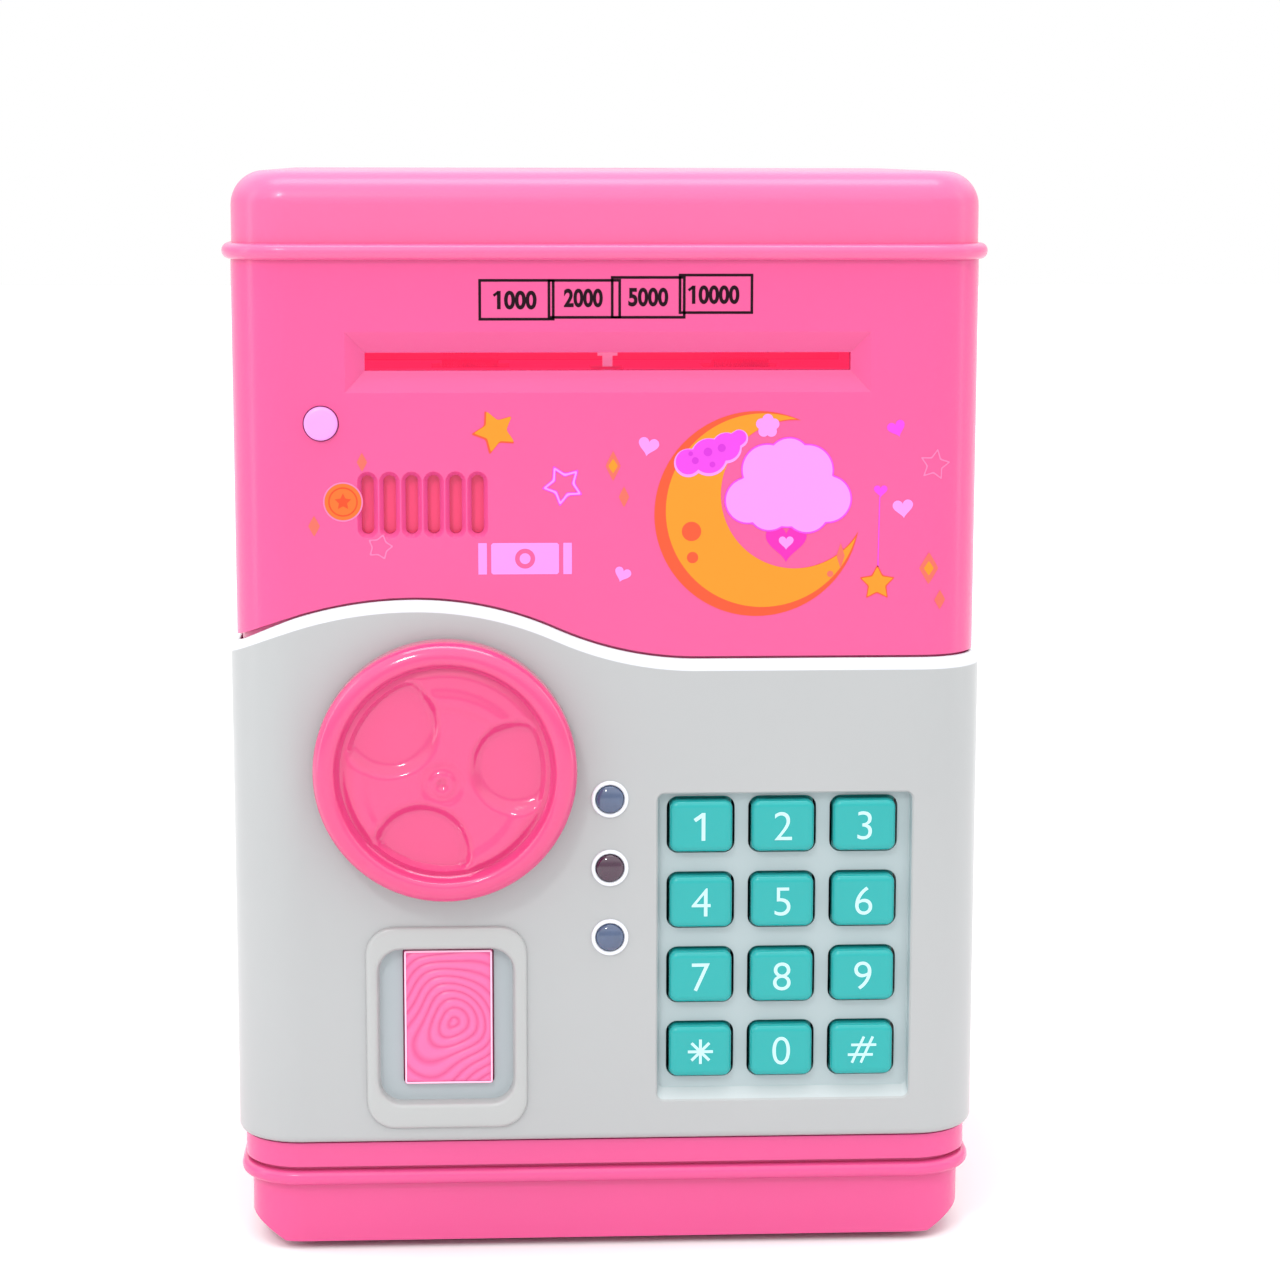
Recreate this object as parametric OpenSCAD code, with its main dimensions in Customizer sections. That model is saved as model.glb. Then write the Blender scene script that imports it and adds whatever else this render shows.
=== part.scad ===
/* [Case] */
// Width of the case across its side walls
case_w = 131.2; // [129:0.2:134]
// Depth of the case across its front and rear walls
case_d = 114.6; // [113:0.2:118]
// Height of the whole object
case_h = 192.2; // [191:0.2:196]
// Radius of the case's upright corners
corner_r = 10.5; // [10:0.5:12]
// Thickness of the case's walls
wall = 2.4; // [2.2:0.1:2.6]

/* [Lid and base] */
// Height at which the lid sits on the case
lid_z = 177; // [176:0.5:178]
// Height of the rim at the lid's lower edge
lid_rim_h = 2.8; // [2.4:0.2:3.6]
// How far the lid's rim stands out from the case
lid_rim_out = 1.5; // [1.2:0.1:2]
// Radius of the lid's upper edge
lid_fillet = 6; // [4:0.5:7]
// Length of the coin slot in the lid
coin_slot_w = 30; // [28:1:36]
// Width of the coin slot in the lid
coin_slot_gap = 3.6; // [3:0.2:4]
// Height of the base tray below the seam
base_h = 14.8; // [14:0.2:15]
// Cut across the base's lower side edges, measured across
base_cut_x = 6.3; // [4:0.1:7]
// Cut across the base's lower side edges, measured upward
base_cut_z = 3.7; // [2.7:0.1:4.7]
// Height of the flat foot under the base
foot_h = 1.3; // [1:0.1:1.5]

/* [Door] */
// Height of the door's lower edge
door_bottom = 20.4; // [20.2:0.1:21.4]
// Height of the door's upper edge on the right
door_flat = 107.5; // [107:0.5:109]
// Height of the crest of the door's upper edge
door_crest = 118.2; // [117:0.2:119]
// Place of the crest across the door
crest_x = -34; // [-36:1:-30]
// How far the door stands out from the case
door_proud = 1.4; // [1.2:0.1:1.6]
// How far the door stands out at the case's sides
door_side = 1.1; // [0.9:0.1:1.3]
// How far the door reaches round the case's sides
door_wrap = 16.3; // [16:0.1:17]

/* [Knob] */
// Diameter of the knob
knob_d = 46.2; // [44:0.2:48]
// Place of the knob across the door
knob_x = -28.8; // [-30:0.2:-27]
// Height of the knob's centre
knob_z = 88.6; // [88:0.2:90]
// How far the knob stands out from the door
knob_out = 6.6; // [5:0.2:9]

/* [Keypad] */
// Width of a key
key_w = 11.1; // [10.6:0.1:11.4]
// Height of a key
key_h = 9.3; // [8.8:0.1:9.6]
// Distance between key columns
key_step_x = 14.5; // [14.3:0.1:14.6]
// Distance between key rows
key_step_z = 13.7; // [13.4:0.1:13.8]

/* [Note slot] */
// Length of the note slot
note_w = 84.4; // [80:0.4:88]
// Height of the note slot
note_h = 3.1; // [2.6:0.1:3.4]
// Height of the note slot's centre
note_z = 159.5; // [159:0.5:160]

/* [Hidden] */
$fn = 48;
eps = 0.01;          // overlap that joins two shapes of one piece
far = 100;           // reach of a cutting shape that runs out of the part
gap = 0.4;           // play between the door and the case
hx = case_w / 2;
hy = case_d / 2;
front_y = -hy;
body_z = base_h + 0.8;           // the case's lower edge, over the seam groove
rebate = 1;                      // depth of the step that the door lies in
low_wall = wall + 1.2;           // wall behind the door, measured from the case's outer face
step_z = door_crest + 3.2;       // where the thicker lower wall ends
lid_side = -0.2;                 // how far the lid's sides stand out from the case's
base_side = -1.1;                // how far the base's sides stand out from the case's
base_rim_h = 2.6;
base_rim_out = 0.8;
foot_in = 10;                    // how far the foot stands back from the case's sides

pink = "hotpink";
pale = "whitesmoke";
teal = "lightseagreen";
steel = "silver";
board_green = "darkgreen";
black = "dimgray";

// Door
face_y = front_y - door_proud;                // the door's front face
door_in_y = front_y + rebate - gap;           // the door's inner face
door_in_x = hx - rebate + gap;
door_rear_y = front_y + door_wrap;
crest_left_r = 70;
crest_right_r = 60;
trough_r = 61;
wave_a = acos(1 - (door_crest - door_flat) / (crest_right_r + trough_r));
flat_x = crest_x + (crest_right_r + trough_r) * sin(wave_a);

// Door opening in the case, and the box behind the door that passes through it
open_x0 = -52;
open_x1 = 59;
open_z0 = door_bottom + 3;
open_z1 = 104.5;
back_x0 = -50;
back_x1 = 56.5;
back_z0 = open_z0 + 1;
back_z1 = open_z1 - 2.5;
back_y = front_y + 12.3;
back_wall = 1.2;
screw_posts = [[-46, 29], [-46, 98.5], [42, 95], [2, 31]];

// Hinge
hinge_x = hx - 1.4;
hinge_y = door_rear_y + 2.4;
knuckle_r = 2.2;
pin_r = 1;
pin_play = 0.06;
swing_r = 19;                     // nothing behind the door comes nearer to the hinge than this
hinge_z0 = 28;
hinge_z1 = 102;
door_knuckles = [[36.4, 48.4], [81.6, 93.6]];
case_knuckles = [[hinge_z0, 36], [48.8, 58], [72, 81.2], [94, hinge_z1]];

// Knob and lock
shaft_r = 4;
shaft_play = 0.06;
cam_r = 8;
cam_y = front_y + 5.4;
cam_t = 3;
arm_y = back_y + 0.4;
arm_t = 2.2;
arm_len = 28;
arm_rest_a = 250;                 // the latch arm's direction at rest, clear of its catch
lock_turn = 70;                   // turn from open to locked
lock_x = knob_x;
lock_y = cam_y + cam_t / 2;
plunger_r = 1.6;
coil_z0 = 60;
coil_z1 = 76;

// Keypad
key_x = 16.3;
key_z = 77.6;
key_r = 1.5;
key_hole_gap = 0.5;
key_front_y = face_y - 0.2;
pad_floor_y = face_y + 2;         // floor of the keypad recess
pad_back_y = pad_floor_y + 1.2;
recess = [8.6, 53.4, 27.8, 83.5]; // left, right, bottom and top of the keypad recess
board_y = front_y + 5.3;
board_t = 1.6;
mat_y = board_y - 0.8;

// Fingerprint pad
finger_frame = [-43.2, -14.6, 23.1, 60];
finger_well = [-40.8, -17.1, 27.8, 55.8];
finger_pad_box = [-36.4, -20.8, 31.1, 55.5];
finger_proud = 0.9;
finger_floor_y = face_y + 1.6;

// Lights
led_x = 0.1;
led_z = [82.7, 70.3, 57.7];
led_r = 2.5;
led_ring_r = 3.3;

// Setting button, sound vents and their parts
button_x = -49.8;
button_z = 149;
button_r = 2.8;
vent_x = -41.9;
vent_step = 3.81;
vent_z = 134.8;
vent_w = 2.1;
vent_h = 10.2;
vents = 6;
speaker_x = vent_x + vent_step * (vents - 1) / 2;
speaker_r = 12.6;

// Note feed
note_bevel_x = 3.4;
note_bevel_z = 3.7;
bevel_t = 2.2;
slot_boss_y = front_y + 5;
frame_x = 44;                      // inner face of the feed frame's side plates
plate_t = 2;
axle_r = 1.5;
axle_play = 0.05;
roll_y = front_y + 15.3;
tyre_r = 5.5;
pinch_r = 4.5;
note_gap = 0.4;
drive_z = note_z + note_gap + tyre_r;
pinch_z = note_z - note_gap - pinch_r;
gear_m = 0.7;
gear_teeth = 28;
pinion_teeth = 9;
gear_x = frame_x + plate_t + 0.6;
gear_t = 3;
motor_a = 2 * 360 / gear_teeth;    // two teeth round, so that the pinion is in mesh
motor_y = roll_y + gear_m * (gear_teeth + pinion_teeth) / 2 * cos(motor_a);
motor_z = drive_z + gear_m * (gear_teeth + pinion_teeth) / 2 * sin(motor_a);
motor_r = 8;
motor_len = 14;
frame_top = motor_z + motor_r + 0.5;
flap_y = slot_boss_y + 2.3;
flap_z = note_z + 6;
flap_pin_r = 0.8;

// Battery bay in the rear wall
bay_x = 27;
bay_z0 = 24;
bay_z1 = 92;
bay_y = hy - 18.5;
cell_r = 7.05;
cell_len = 49.5;
cell_step = 15.6;
cell_y = bay_y + 1.5 + cell_r + 0.2;
cell_z = 30;
cell_top = bay_z1 - 7.6;

boss_x = 55;
boss_y = 48;

function arc(cx, cz, r, a0, a1, n) =
    [for (i = [0 : n]) let (a = a0 + (a1 - a0) * i / n) [cx + r * cos(a), cz + r * sin(a)]];

// A rectangle with round corners, by its half sizes
module round_rect(half_x, half_y, r) {
    square([2 * half_x, 2 * (half_y - r)], center = true);
    square([2 * (half_x - r), 2 * half_y], center = true);
    for (sx = [-1, 1], sy = [-1, 1])
        translate([sx * (half_x - r), sy * (half_y - r)])
            circle(r);
}

// A rectangle with round corners, by its left, right, bottom and top
module round_box(b, r, grow = 0) {
    translate([(b[0] + b[1]) / 2, (b[2] + b[3]) / 2])
        round_rect((b[1] - b[0]) / 2 + grow, (b[3] - b[2]) / 2 + grow, r);
}

module slab(z0, z1) {
    translate([0, 0, z0])
        linear_extrude(z1 - z0)
            children();
}

// A shape drawn on the front view, given a thickness from y0 back to y1
module front_slab(y0, y1) {
    translate([0, y1, 0])
        rotate([90, 0, 0])
            linear_extrude(y1 - y0)
                children();
}

module box(x0, x1, y0, y1, z0, z1) {
    translate([x0, y0, z0])
        cube([x1 - x0, y1 - y0, z1 - z0]);
}

module x_rod(x0, x1, y, z, r) {
    translate([x0, y, z])
        rotate([0, 90, 0])
            cylinder(r = r, h = x1 - x0);
}

module y_rod(x, z, y0, y1, r) {
    translate([x, y1, z])
        rotate([90, 0, 0])
            cylinder(r = r, h = y1 - y0);
}

module z_rod(x, y, z0, z1, r) {
    translate([x, y, z0])
        cylinder(r = r, h = z1 - z0);
}

// The door's outline on the front view, grown by the given amount
module wave_outline(grow = 0) {
    left = arc(crest_x, door_crest - crest_left_r, crest_left_r + grow, 122, 90, 10);
    right = arc(crest_x, door_crest - crest_right_r, crest_right_r + grow, 90, 90 - wave_a, 10);
    trough = arc(flat_x, door_flat + trough_r, trough_r - grow, 270 - wave_a, 270, 10);
    polygon(concat(left, right, trough,
        [[far, door_flat + grow], [far, door_bottom - grow], [left[0][0], door_bottom - grow]]));
}

module cross_screw(head_r, head_t, shank_r, len) {
    difference() {
        union() {
            cylinder(r = head_r, h = head_t);
            translate([0, 0, -len])
                cylinder(r = shank_r, h = len + eps);
        }
        for (a = [0, 90])
            rotate(a)
                translate([-head_r * 0.6, -0.35, head_t - 0.9])
                    cube([head_r * 1.2, 0.7, 1]);
    }
}

// ---- Case ----

module case_outline(inset) {
    round_rect(hx - inset, hy - inset, corner_r - inset);
}

module vent_slot() {
    square([vent_w, vent_h - vent_w], center = true);
    for (s = [-1, 1])
        translate([0, s * (vent_h - vent_w) / 2])
            circle(vent_w / 2);
}

// Sloping sides that narrow from the case's face to the note slot
module note_bevel() {
    out_x = note_w / 2 + note_bevel_x;
    out_z = note_h / 2 + note_bevel_z;
    y0 = front_y - eps;
    intersection() {
        slab(note_z - out_z, note_z + out_z)
            polygon([[-out_x, y0], [out_x, y0],
                [note_w / 2, front_y + bevel_t], [-note_w / 2, front_y + bevel_t]]);
        translate([-out_x, 0, 0])
            rotate([90, 0, 90])
                linear_extrude(2 * out_x)
                    polygon([[y0, note_z - out_z], [y0, note_z + out_z],
                        [front_y + bevel_t, note_z + note_h / 2],
                        [front_y + bevel_t, note_z - note_h / 2]]);
    }
}

module case_bosses() {
    for (sx = [-1, 1], sy = [-1, 1]) {
        top = sy < 0 ? door_bottom + 2 : 36;
        slab(body_z + 2, top) {
            translate([sx * boss_x, sy * boss_y])
                circle(4);
            translate([sx * (boss_x + 3.7), sy * (boss_y + 3)])
                square([7.4, 6], center = true);
        }
        slab(lid_z - 7, lid_z - 3)
            translate([sx * (boss_x + 3.6), sy * (boss_y + 3)])
                square([9, 8], center = true);
    }
}

module hinge_boss() {
    box(hinge_x - 5, hx - low_wall + eps, hinge_y - 3, hinge_y + 5.6, hinge_z0 - 3, hinge_z1 + 3);
}

module case_knuckle(z) {
    z_rod(hinge_x, hinge_y, z[0], z[1], knuckle_r);
    box(hinge_x - 3.2, hinge_x, hinge_y - 1.6, hinge_y + 1.6, z[0], z[1]);
}

module body_shell() {
    color(pink)
    difference() {
        union() {
            difference() {
                slab(body_z, lid_z)
                    case_outline(0);
                // the step that the door lies in
                difference() {
                    front_slab(-far, door_rear_y + gap)
                        wave_outline(gap);
                    slab(0, lid_z)
                        case_outline(rebate);
                }
                slab(-1, step_z)
                    case_outline(low_wall);
                slab(step_z - eps, far * 2)
                    case_outline(wall);
            }
            // thicker wall round the note slot
            box(-note_w / 2 - 2, note_w / 2 + 2, front_y + 1, slot_boss_y,
                note_z - 8.5, note_z + 8.5);
            intersection() {
                slab(0, lid_z)
                    case_outline(1);
                union() {
                    case_bosses();
                    hinge_boss();
                    // catch for the latch arm
                    box(-hx + low_wall - eps, open_x0 - 1, front_y + low_wall - 1, arm_y - gap,
                        knob_z - 7.6, knob_z + 7.4);
                }
            }
        }
        note_bevel();
        box(-note_w / 2, note_w / 2, -far, slot_boss_y + 1, note_z - note_h / 2, note_z + note_h / 2);
        front_slab(-far, front_y + wall + 1)
            for (i = [0 : vents - 1])
                translate([vent_x + i * vent_step, vent_z])
                    vent_slot();
        y_rod(button_x, button_z, -far, front_y + wall + 1, button_r + 0.3);
        // the way in behind the door
        box(open_x0, open_x1, -far, front_y + 7.3, open_z0, open_z1);
        // the hinge's channel in the right side
        box(hinge_x - 2.8, far, hinge_y - 2.4, hinge_y + 3.6, hinge_z0 - 1, hinge_z1 + 1);
        // the battery bay's way in
        box(-bay_x, bay_x, hy - low_wall - 1, far, bay_z0, bay_z1);
        // screw holes
        for (sx = [-1, 1], sy = [-1, 1]) {
            z_rod(sx * boss_x, sy * boss_y, 0, 33, 1.2);
            z_rod(sx * boss_x, sy * boss_y, lid_z - 8, lid_z, 1.7);
        }
    }
    color(pink)
    difference() {
        for (z = case_knuckles)
            case_knuckle(z);
        z_rod(hinge_x, hinge_y, 0, far * 2, pin_r);
    }
}

module hinge_pin() {
    color(steel)
        z_rod(hinge_x, hinge_y, hinge_z0, hinge_z1, pin_r);
}

// The lid's outer form: upright sides, round corners and a round upper edge
module lid_form(inset, z0) {
    f = lid_fillet - inset / 2;
    top = case_h - inset;
    r = corner_r + lid_side - inset;
    cx = hx + lid_side - inset - r;
    cy = hy + lid_side - inset - r;
    slab(z0, top - f)
        round_rect(cx + r, cy + r, r);
    box(-cx, cx, -cy, cy, top - f, top);
    for (c = [[1, 1, 0], [-1, 1, 90], [-1, -1, 180], [1, -1, 270]])
        translate([c[0] * cx, c[1] * cy, top - f])
            rotate(c[2])
                rotate_extrude(angle = 90)
                    edge_section(r - f, f, 1);
    for (s = [-1, 1]) {
        translate([-cx, s * cy, top - f])
            rotate([90, 0, 90])
                linear_extrude(2 * cx)
                    edge_section(r - f, f, s);
        translate([s * cx, cy, top - f])
            rotate([90, 0, 0])
                linear_extrude(2 * cy)
                    edge_section(r - f, f, s);
    }
}

// A rectangle that ends in a quarter circle, to the right or, with s = -1, to the left
module edge_section(flat, f, s) {
    intersection() {
        translate([s * flat, 0])
            circle(f);
        translate([min(0, s * (flat + f)), 0])
            square([flat + f, f]);
    }
    translate([min(0, s * flat), 0])
        square([flat, f]);
}

module lid() {
    lip = wall + 0.15;
    color(pink)
    difference() {
        union() {
            lid_form(0, lid_z);
            slab(lid_z, lid_z + lid_rim_h)
                case_outline(-lid_rim_out);
        }
        difference() {
            lid_form(wall, lid_z - 1);
            for (sx = [-1, 1], sy = [-1, 1])
                z_rod(sx * boss_x, sy * boss_y, lid_z, case_h, 3.6);
        }
        box(-coin_slot_w / 2, coin_slot_w / 2, 22, 22 + coin_slot_gap, lid_z, case_h + 1);
        for (sx = [-1, 1], sy = [-1, 1])
            z_rod(sx * boss_x, sy * boss_y, 0, lid_z + 8, 1.2);
    }
    // lip that goes inside the case
    color(pink)
    difference() {
        union() {
            slab(lid_z, lid_z + 1.5)
                case_outline(wall - 0.6);
            slab(lid_z - 2.5, lid_z + 0.5)
                case_outline(lip);
        }
        slab(lid_z - 3, lid_z + 2)
            case_outline(lip + 1.6);
    }
}

module base_tray() {
    cut_x = hx + base_side - base_cut_x;
    color(pink)
    difference() {
        union() {
            slab(0, foot_h + eps)
                round_rect(hx - foot_in, hy - foot_in, 8);
            slab(foot_h, base_h - 1)
                case_outline(-base_side);
            slab(base_h - base_rim_h, base_h)
                case_outline(-base_rim_out);
            slab(base_h - 1, body_z)
                case_outline(1.2);
            slab(base_h, body_z + 2.5)
                case_outline(low_wall + 0.15);
        }
        difference() {
            slab(foot_h + wall, far)
                case_outline(low_wall + 1.8);
            for (sx = [-1, 1], sy = [-1, 1])
                z_rod(sx * boss_x, sy * boss_y, 0, body_z + 2, 4.4);
        }
        // the inner lip stops short of the screw posts
        for (sx = [-1, 1], sy = [-1, 1]) {
            translate([sx * (boss_x + 3.5), sy * (boss_y + 2.8), body_z + 2])
                cube([16.4, 14.4, 2], center = true);
            z_rod(sx * boss_x, sy * boss_y, -1, far, 1.7);
            z_rod(sx * boss_x, sy * boss_y, -1, 4, 3.2);
        }
        // the lower side edges are cut away
        for (sx = [-1, 1])
            front_slab(-far, far)
                polygon([[sx * (cut_x + base_cut_x + eps), foot_h + base_cut_z], [sx * cut_x, foot_h],
                    [sx * cut_x, -1], [sx * far, -1], [sx * far, foot_h + base_cut_z]]);
    }
}

module base_screws() {
    color(steel)
        for (sx = [-1, 1], sy = [-1, 1])
            translate([sx * boss_x, sy * boss_y, 4])
                mirror([0, 0, 1])
                    cross_screw(2.8, 1.8, 1.2, sy < 0 ? 17 : 24);
}

module lid_screws() {
    color(steel)
        for (sx = [-1, 1], sy = [-1, 1])
            translate([sx * boss_x, sy * boss_y, lid_z - 7])
                mirror([0, 0, 1])
                    cross_screw(2.8, 1.8, 1.2, 14);
}

// ---- Batteries ----

module battery_box() {
    color(black)
    difference() {
        box(-bay_x + 0.1, bay_x - 0.1, bay_y, hy - wall - 0.2, bay_z0 + 0.1, bay_z1 - 0.1);
        box(-bay_x + 1.5, bay_x - 1.5, bay_y + 1.5, hy, bay_z0 + 1.5, cell_top);
        y_rod(0, bay_z1 - 3.8, bay_y + 8, hy, 1.2 + pin_play);
    }
    // ribs between the cells
    color(black)
        for (sx = [-1, 1])
            box(sx * cell_step / 2 - 0.4, sx * cell_step / 2 + 0.4, bay_y + 1, cell_y - 4,
                bay_z0 + 1, cell_top + 1);
}

module battery_cells() {
    color("goldenrod")
        for (i = [-1 : 1])
            translate([i * cell_step, cell_y, cell_z])
                if (i == 0) {
                    cylinder(r = cell_r, h = cell_len);
                    translate([0, 0, cell_len])
                        cylinder(r = 2.7, h = 1);
                } else {
                    translate([0, 0, 1])
                        cylinder(r = cell_r, h = cell_len);
                    cylinder(r = 2.7, h = 1 + eps);
                }
}

module battery_springs() {
    color(steel)
        for (i = [-1 : 1]) {
            low = i == 0;
            z0 = low ? bay_z0 + 1.5 : cell_top;
            dir = low ? 1 : -1;
            zz = low ? cell_z : cell_z + cell_len + 1;
            span = abs(zz - z0);
            // contact plate with a conical spring on it
            translate([i * cell_step, cell_y, z0 + dir * 0.25])
                cube([11, 9, 0.5], center = true);
            for (k = [0 : 2])
                translate([i * cell_step, cell_y, z0 + dir * (0.4 + (k + 0.5) * (span - 0.4) / 3)])
                    rotate_extrude($fn = 32)
                        translate([4.4 - k * 0.5, 0])
                            circle(r = (span - 0.4) / 6 - 0.02, $fn = 16);
        }
}

module battery_cover() {
    color(pink)
    difference() {
        union() {
            box(-bay_x + gap, bay_x - gap, hy - 1.9, hy, bay_z0 + gap, bay_z1 - gap);
            // grip ribs
            for (i = [0 : 4])
                box(-9, 9, hy - eps, hy + 0.6, bay_z0 + 6 + 2.4 * i, bay_z0 + 7 + 2.4 * i);
        }
        y_rod(0, bay_z1 - 3.8, 0, far, 1.6);
        y_rod(0, bay_z1 - 3.8, hy - 1.1, far, 3);
    }
}

module cover_screw() {
    color(steel)
        translate([0, hy - 1.1, bay_z1 - 3.8])
            rotate([-90, 0, 0])
                cross_screw(2.7, 1.1, 1.2, 4);
}

// ---- Sound, board and setting button ----

module speaker_holder() {
    y0 = front_y + wall;
    color(pink)
    difference() {
        y_rod(speaker_x, vent_z, y0, y0 + 5, speaker_r);
        y_rod(speaker_x, vent_z, y0 + 1, y0 + 6, speaker_r - 1.2);
    }
}

module speaker() {
    y0 = front_y + wall + 1;
    color(black)
    difference() {
        y_rod(speaker_x, vent_z, y0, y0 + 3, speaker_r - 1.2);
        y_rod(speaker_x, vent_z, y0 - 1, y0 + 1.2, speaker_r - 2.6);
    }
    color(steel)
        y_rod(speaker_x, vent_z, y0 + 3 - eps, y0 + 6.5, 7.5);
}

module main_board() {
    y0 = front_y + 7;
    color(board_green)
        box(4, 50, y0, y0 + board_t, 122.5, 146);
    // chips, socket and capacitor on the board
    color(black) {
        box(12, 22, y0 + board_t - eps, y0 + board_t + 1.8, 132, 141);
        box(29, 36, y0 + board_t - eps, y0 + board_t + 1.4, 128, 134);
    }
    color(pale)
        box(36, 43, y0 + board_t - eps, y0 + board_t + 6, 138, 144);
    color("navy")
        y_rod(42, 130, y0 + board_t - eps, y0 + board_t + 8, 2.5);
    // standoffs
    color(pale)
        for (x = [8, 46], z = [124.8, 143.2])
            y_rod(x, z, front_y + wall, y0, 1.5);
}

module button_board() {
    y0 = front_y + 7;
    color(board_green)
        box(button_x - 6, button_x + 3.4, y0, y0 + 1.2, button_z - 5.5, button_z + 5.5);
    color(black)
        box(button_x - 3, button_x + 3, y0 - 2, y0 + eps, button_z - 3, button_z + 3);
    color(pale)
        for (p = [[-4.9, 4.3], [2.2, -4.6]])
            y_rod(button_x + p[0], button_z + p[1], front_y + wall, y0, 1);
}

module setup_button() {
    color("plum") {
        y_rod(button_x, button_z, front_y - 1, front_y + wall + 1, button_r);
        y_rod(button_x, button_z, front_y + wall + 0.1, front_y + wall + 1, button_r + 1.2);
    }
}

// ---- Note feed ----

module feed_frame() {
    y0 = slot_boss_y + 0.1;
    y1 = motor_y + motor_r + 2;
    z0 = pinch_z - 7;
    z1 = frame_top;
    color(pale)
    difference() {
        union() {
            for (x = [-frame_x - plate_t, frame_x])
                box(x, x + plate_t, y0, y1, z0, z1);
            // note guides under and over the note's path
            box(-frame_x - eps, frame_x + eps, y0, motor_y + 2,
                note_z - note_h / 2 - 1.5, note_z - note_h / 2);
            box(-frame_x - eps, frame_x + eps, roll_y + 8, motor_y + 2, z0, z0 + 2);
            box(-frame_x - eps, frame_x + eps, y0 + 3, y1, z1 - 2, z1);
            // cradle behind the motor
            box(frame_x - motor_len, frame_x + eps, motor_y + 4, y1, motor_z - 6, frame_top - 1);
            // wall that turns the note downward
            box(-frame_x - eps, frame_x + eps, y1 - 1.5, y1, z0 + 2, z1);
            // lugs that hold the flap's pin
            for (x = [-5, 3])
                box(x, x + 2, y0 + 0.1, flap_y + 2.2, flap_z - 2, z1);
            box(-5, 5, y0 + 0.1, y0 + 4, z1 - 2, z1);
        }
        x_rod(-far, far, roll_y, drive_z, axle_r + axle_play);
        x_rod(-far, far, roll_y, pinch_z, axle_r + axle_play);
        x_rod(frame_x - 1, far, motor_y, motor_z, 3.4);
        x_rod(-far / 4, far / 4, flap_y, flap_z, flap_pin_r);
        x_rod(10, frame_x, motor_y, motor_z, motor_r + 0.02);
        // windows for the pinch tyres and for the flap
        for (s = [-1, 1])
            translate([s * 24, roll_y, note_z])
                cube([14, 2 * pinch_r + 2, 12], center = true);
        box(-3, 3, 0 - far, flap_y + 8, note_z - 6, note_z + 3);
    }
}

module feed_motor() {
    x0 = frame_x - motor_len;
    color(steel)
    intersection() {
        x_rod(x0, frame_x - eps, motor_y, motor_z, motor_r);
        box(x0, frame_x, motor_y - motor_r, motor_y + motor_r, motor_z - 6.4, motor_z + 6.4);
    }
    color(pale)
        x_rod(x0 - 1.5, x0 + eps, motor_y, motor_z, 5.5);
    color(steel)
        x_rod(frame_x - 2 * eps, frame_x + 1.8, motor_y, motor_z, 3);
}

// A spur gear lying across the X axis
module spur(teeth, x0, t, bore, turn = 0) {
    rp = gear_m * teeth / 2;
    step = 360 / teeth;
    root = rp - 1.15 * gear_m;
    tip = rp + 0.85 * gear_m;
    outline = [for (i = [0 : teeth - 1]) each [
        for (p = [[-0.36, root], [-0.2, rp], [-0.1, tip], [0.1, tip], [0.2, rp], [0.36, root]])
            let (a = (i + p[0]) * step + turn) [p[1] * cos(a), p[1] * sin(a)]]];
    translate([x0, 0, 0])
        rotate([90, 0, 90])
            linear_extrude(t)
                difference() {
                    polygon(outline);
                    circle(bore);
                }
}

module drive_gear() {
    color(pale)
        translate([0, roll_y, drive_z])
            spur(gear_teeth, gear_x, gear_t, axle_r);
}

module motor_pinion() {
    color("gold")
        translate([0, motor_y, motor_z])
            spur(pinion_teeth, gear_x, gear_t, 0.9, motor_a + 180 + 180 / pinion_teeth);
    color(steel)
        x_rod(frame_x + 2.2, gear_x + gear_t, motor_y, motor_z, 0.9);
}

module drive_axle() {
    color(steel)
        x_rod(-frame_x - plate_t - 1, gear_x + gear_t + 0.6, roll_y, drive_z, axle_r);
}

module pinch_axle() {
    color(steel)
        x_rod(-frame_x - plate_t - 1, frame_x + plate_t + 0.3, roll_y, pinch_z, axle_r);
}

module tyre_pair(z, r) {
    color(black)
    difference() {
        for (s = [-1, 1])
            x_rod(s * 24 - 5, s * 24 + 5, roll_y, z, r);
        x_rod(-far, far, roll_y, z, axle_r);
    }
}

module drive_tyres() {
    tyre_pair(drive_z, tyre_r);
}

module pinch_tyres() {
    tyre_pair(pinch_z, pinch_r);
}

module note_flap() {
    color("pink")
    difference() {
        union() {
            x_rod(-2.4, 2.4, flap_y, flap_z, 1.8);
            box(-1.75, 1.75, flap_y - 0.5, flap_y + 0.5, note_z + 0.7, flap_z);
            box(-0.87, 0.87, flap_y - 0.5, flap_y + 0.5, note_z - 1.2, note_z + 0.7 + eps);
        }
        x_rod(-3, 3, flap_y, flap_z, flap_pin_r + axle_play);
    }
}

module flap_pin() {
    color(steel)
        x_rod(-5, 5, flap_y, flap_z, flap_pin_r);
}

module note_switch() {
    color(black)
        box(6, 17, flap_y - 1, flap_y + 5, flap_z - 0.5, frame_top - 2);
    color(steel)
        for (x = [8, 11.5, 15])
            box(x - 0.3, x + 0.3, flap_y + 5 - eps, flap_y + 8, drive_z + 3, drive_z + 5);
}

// ---- Door ----

module key_holes() {
    for (c = [0 : 2], r = [0 : 3])
        translate([key_x + c * key_step_x, key_z - r * key_step_z])
            round_rect(key_w / 2 + key_hole_gap, key_h / 2 + key_hole_gap, key_r + key_hole_gap);
}

module door_knuckle(z) {
    z_rod(hinge_x, hinge_y, z[0], z[1], knuckle_r);
    box(door_in_x, hinge_x + knuckle_r, door_rear_y - 1, hinge_y, z[0], z[1]);
}

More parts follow.
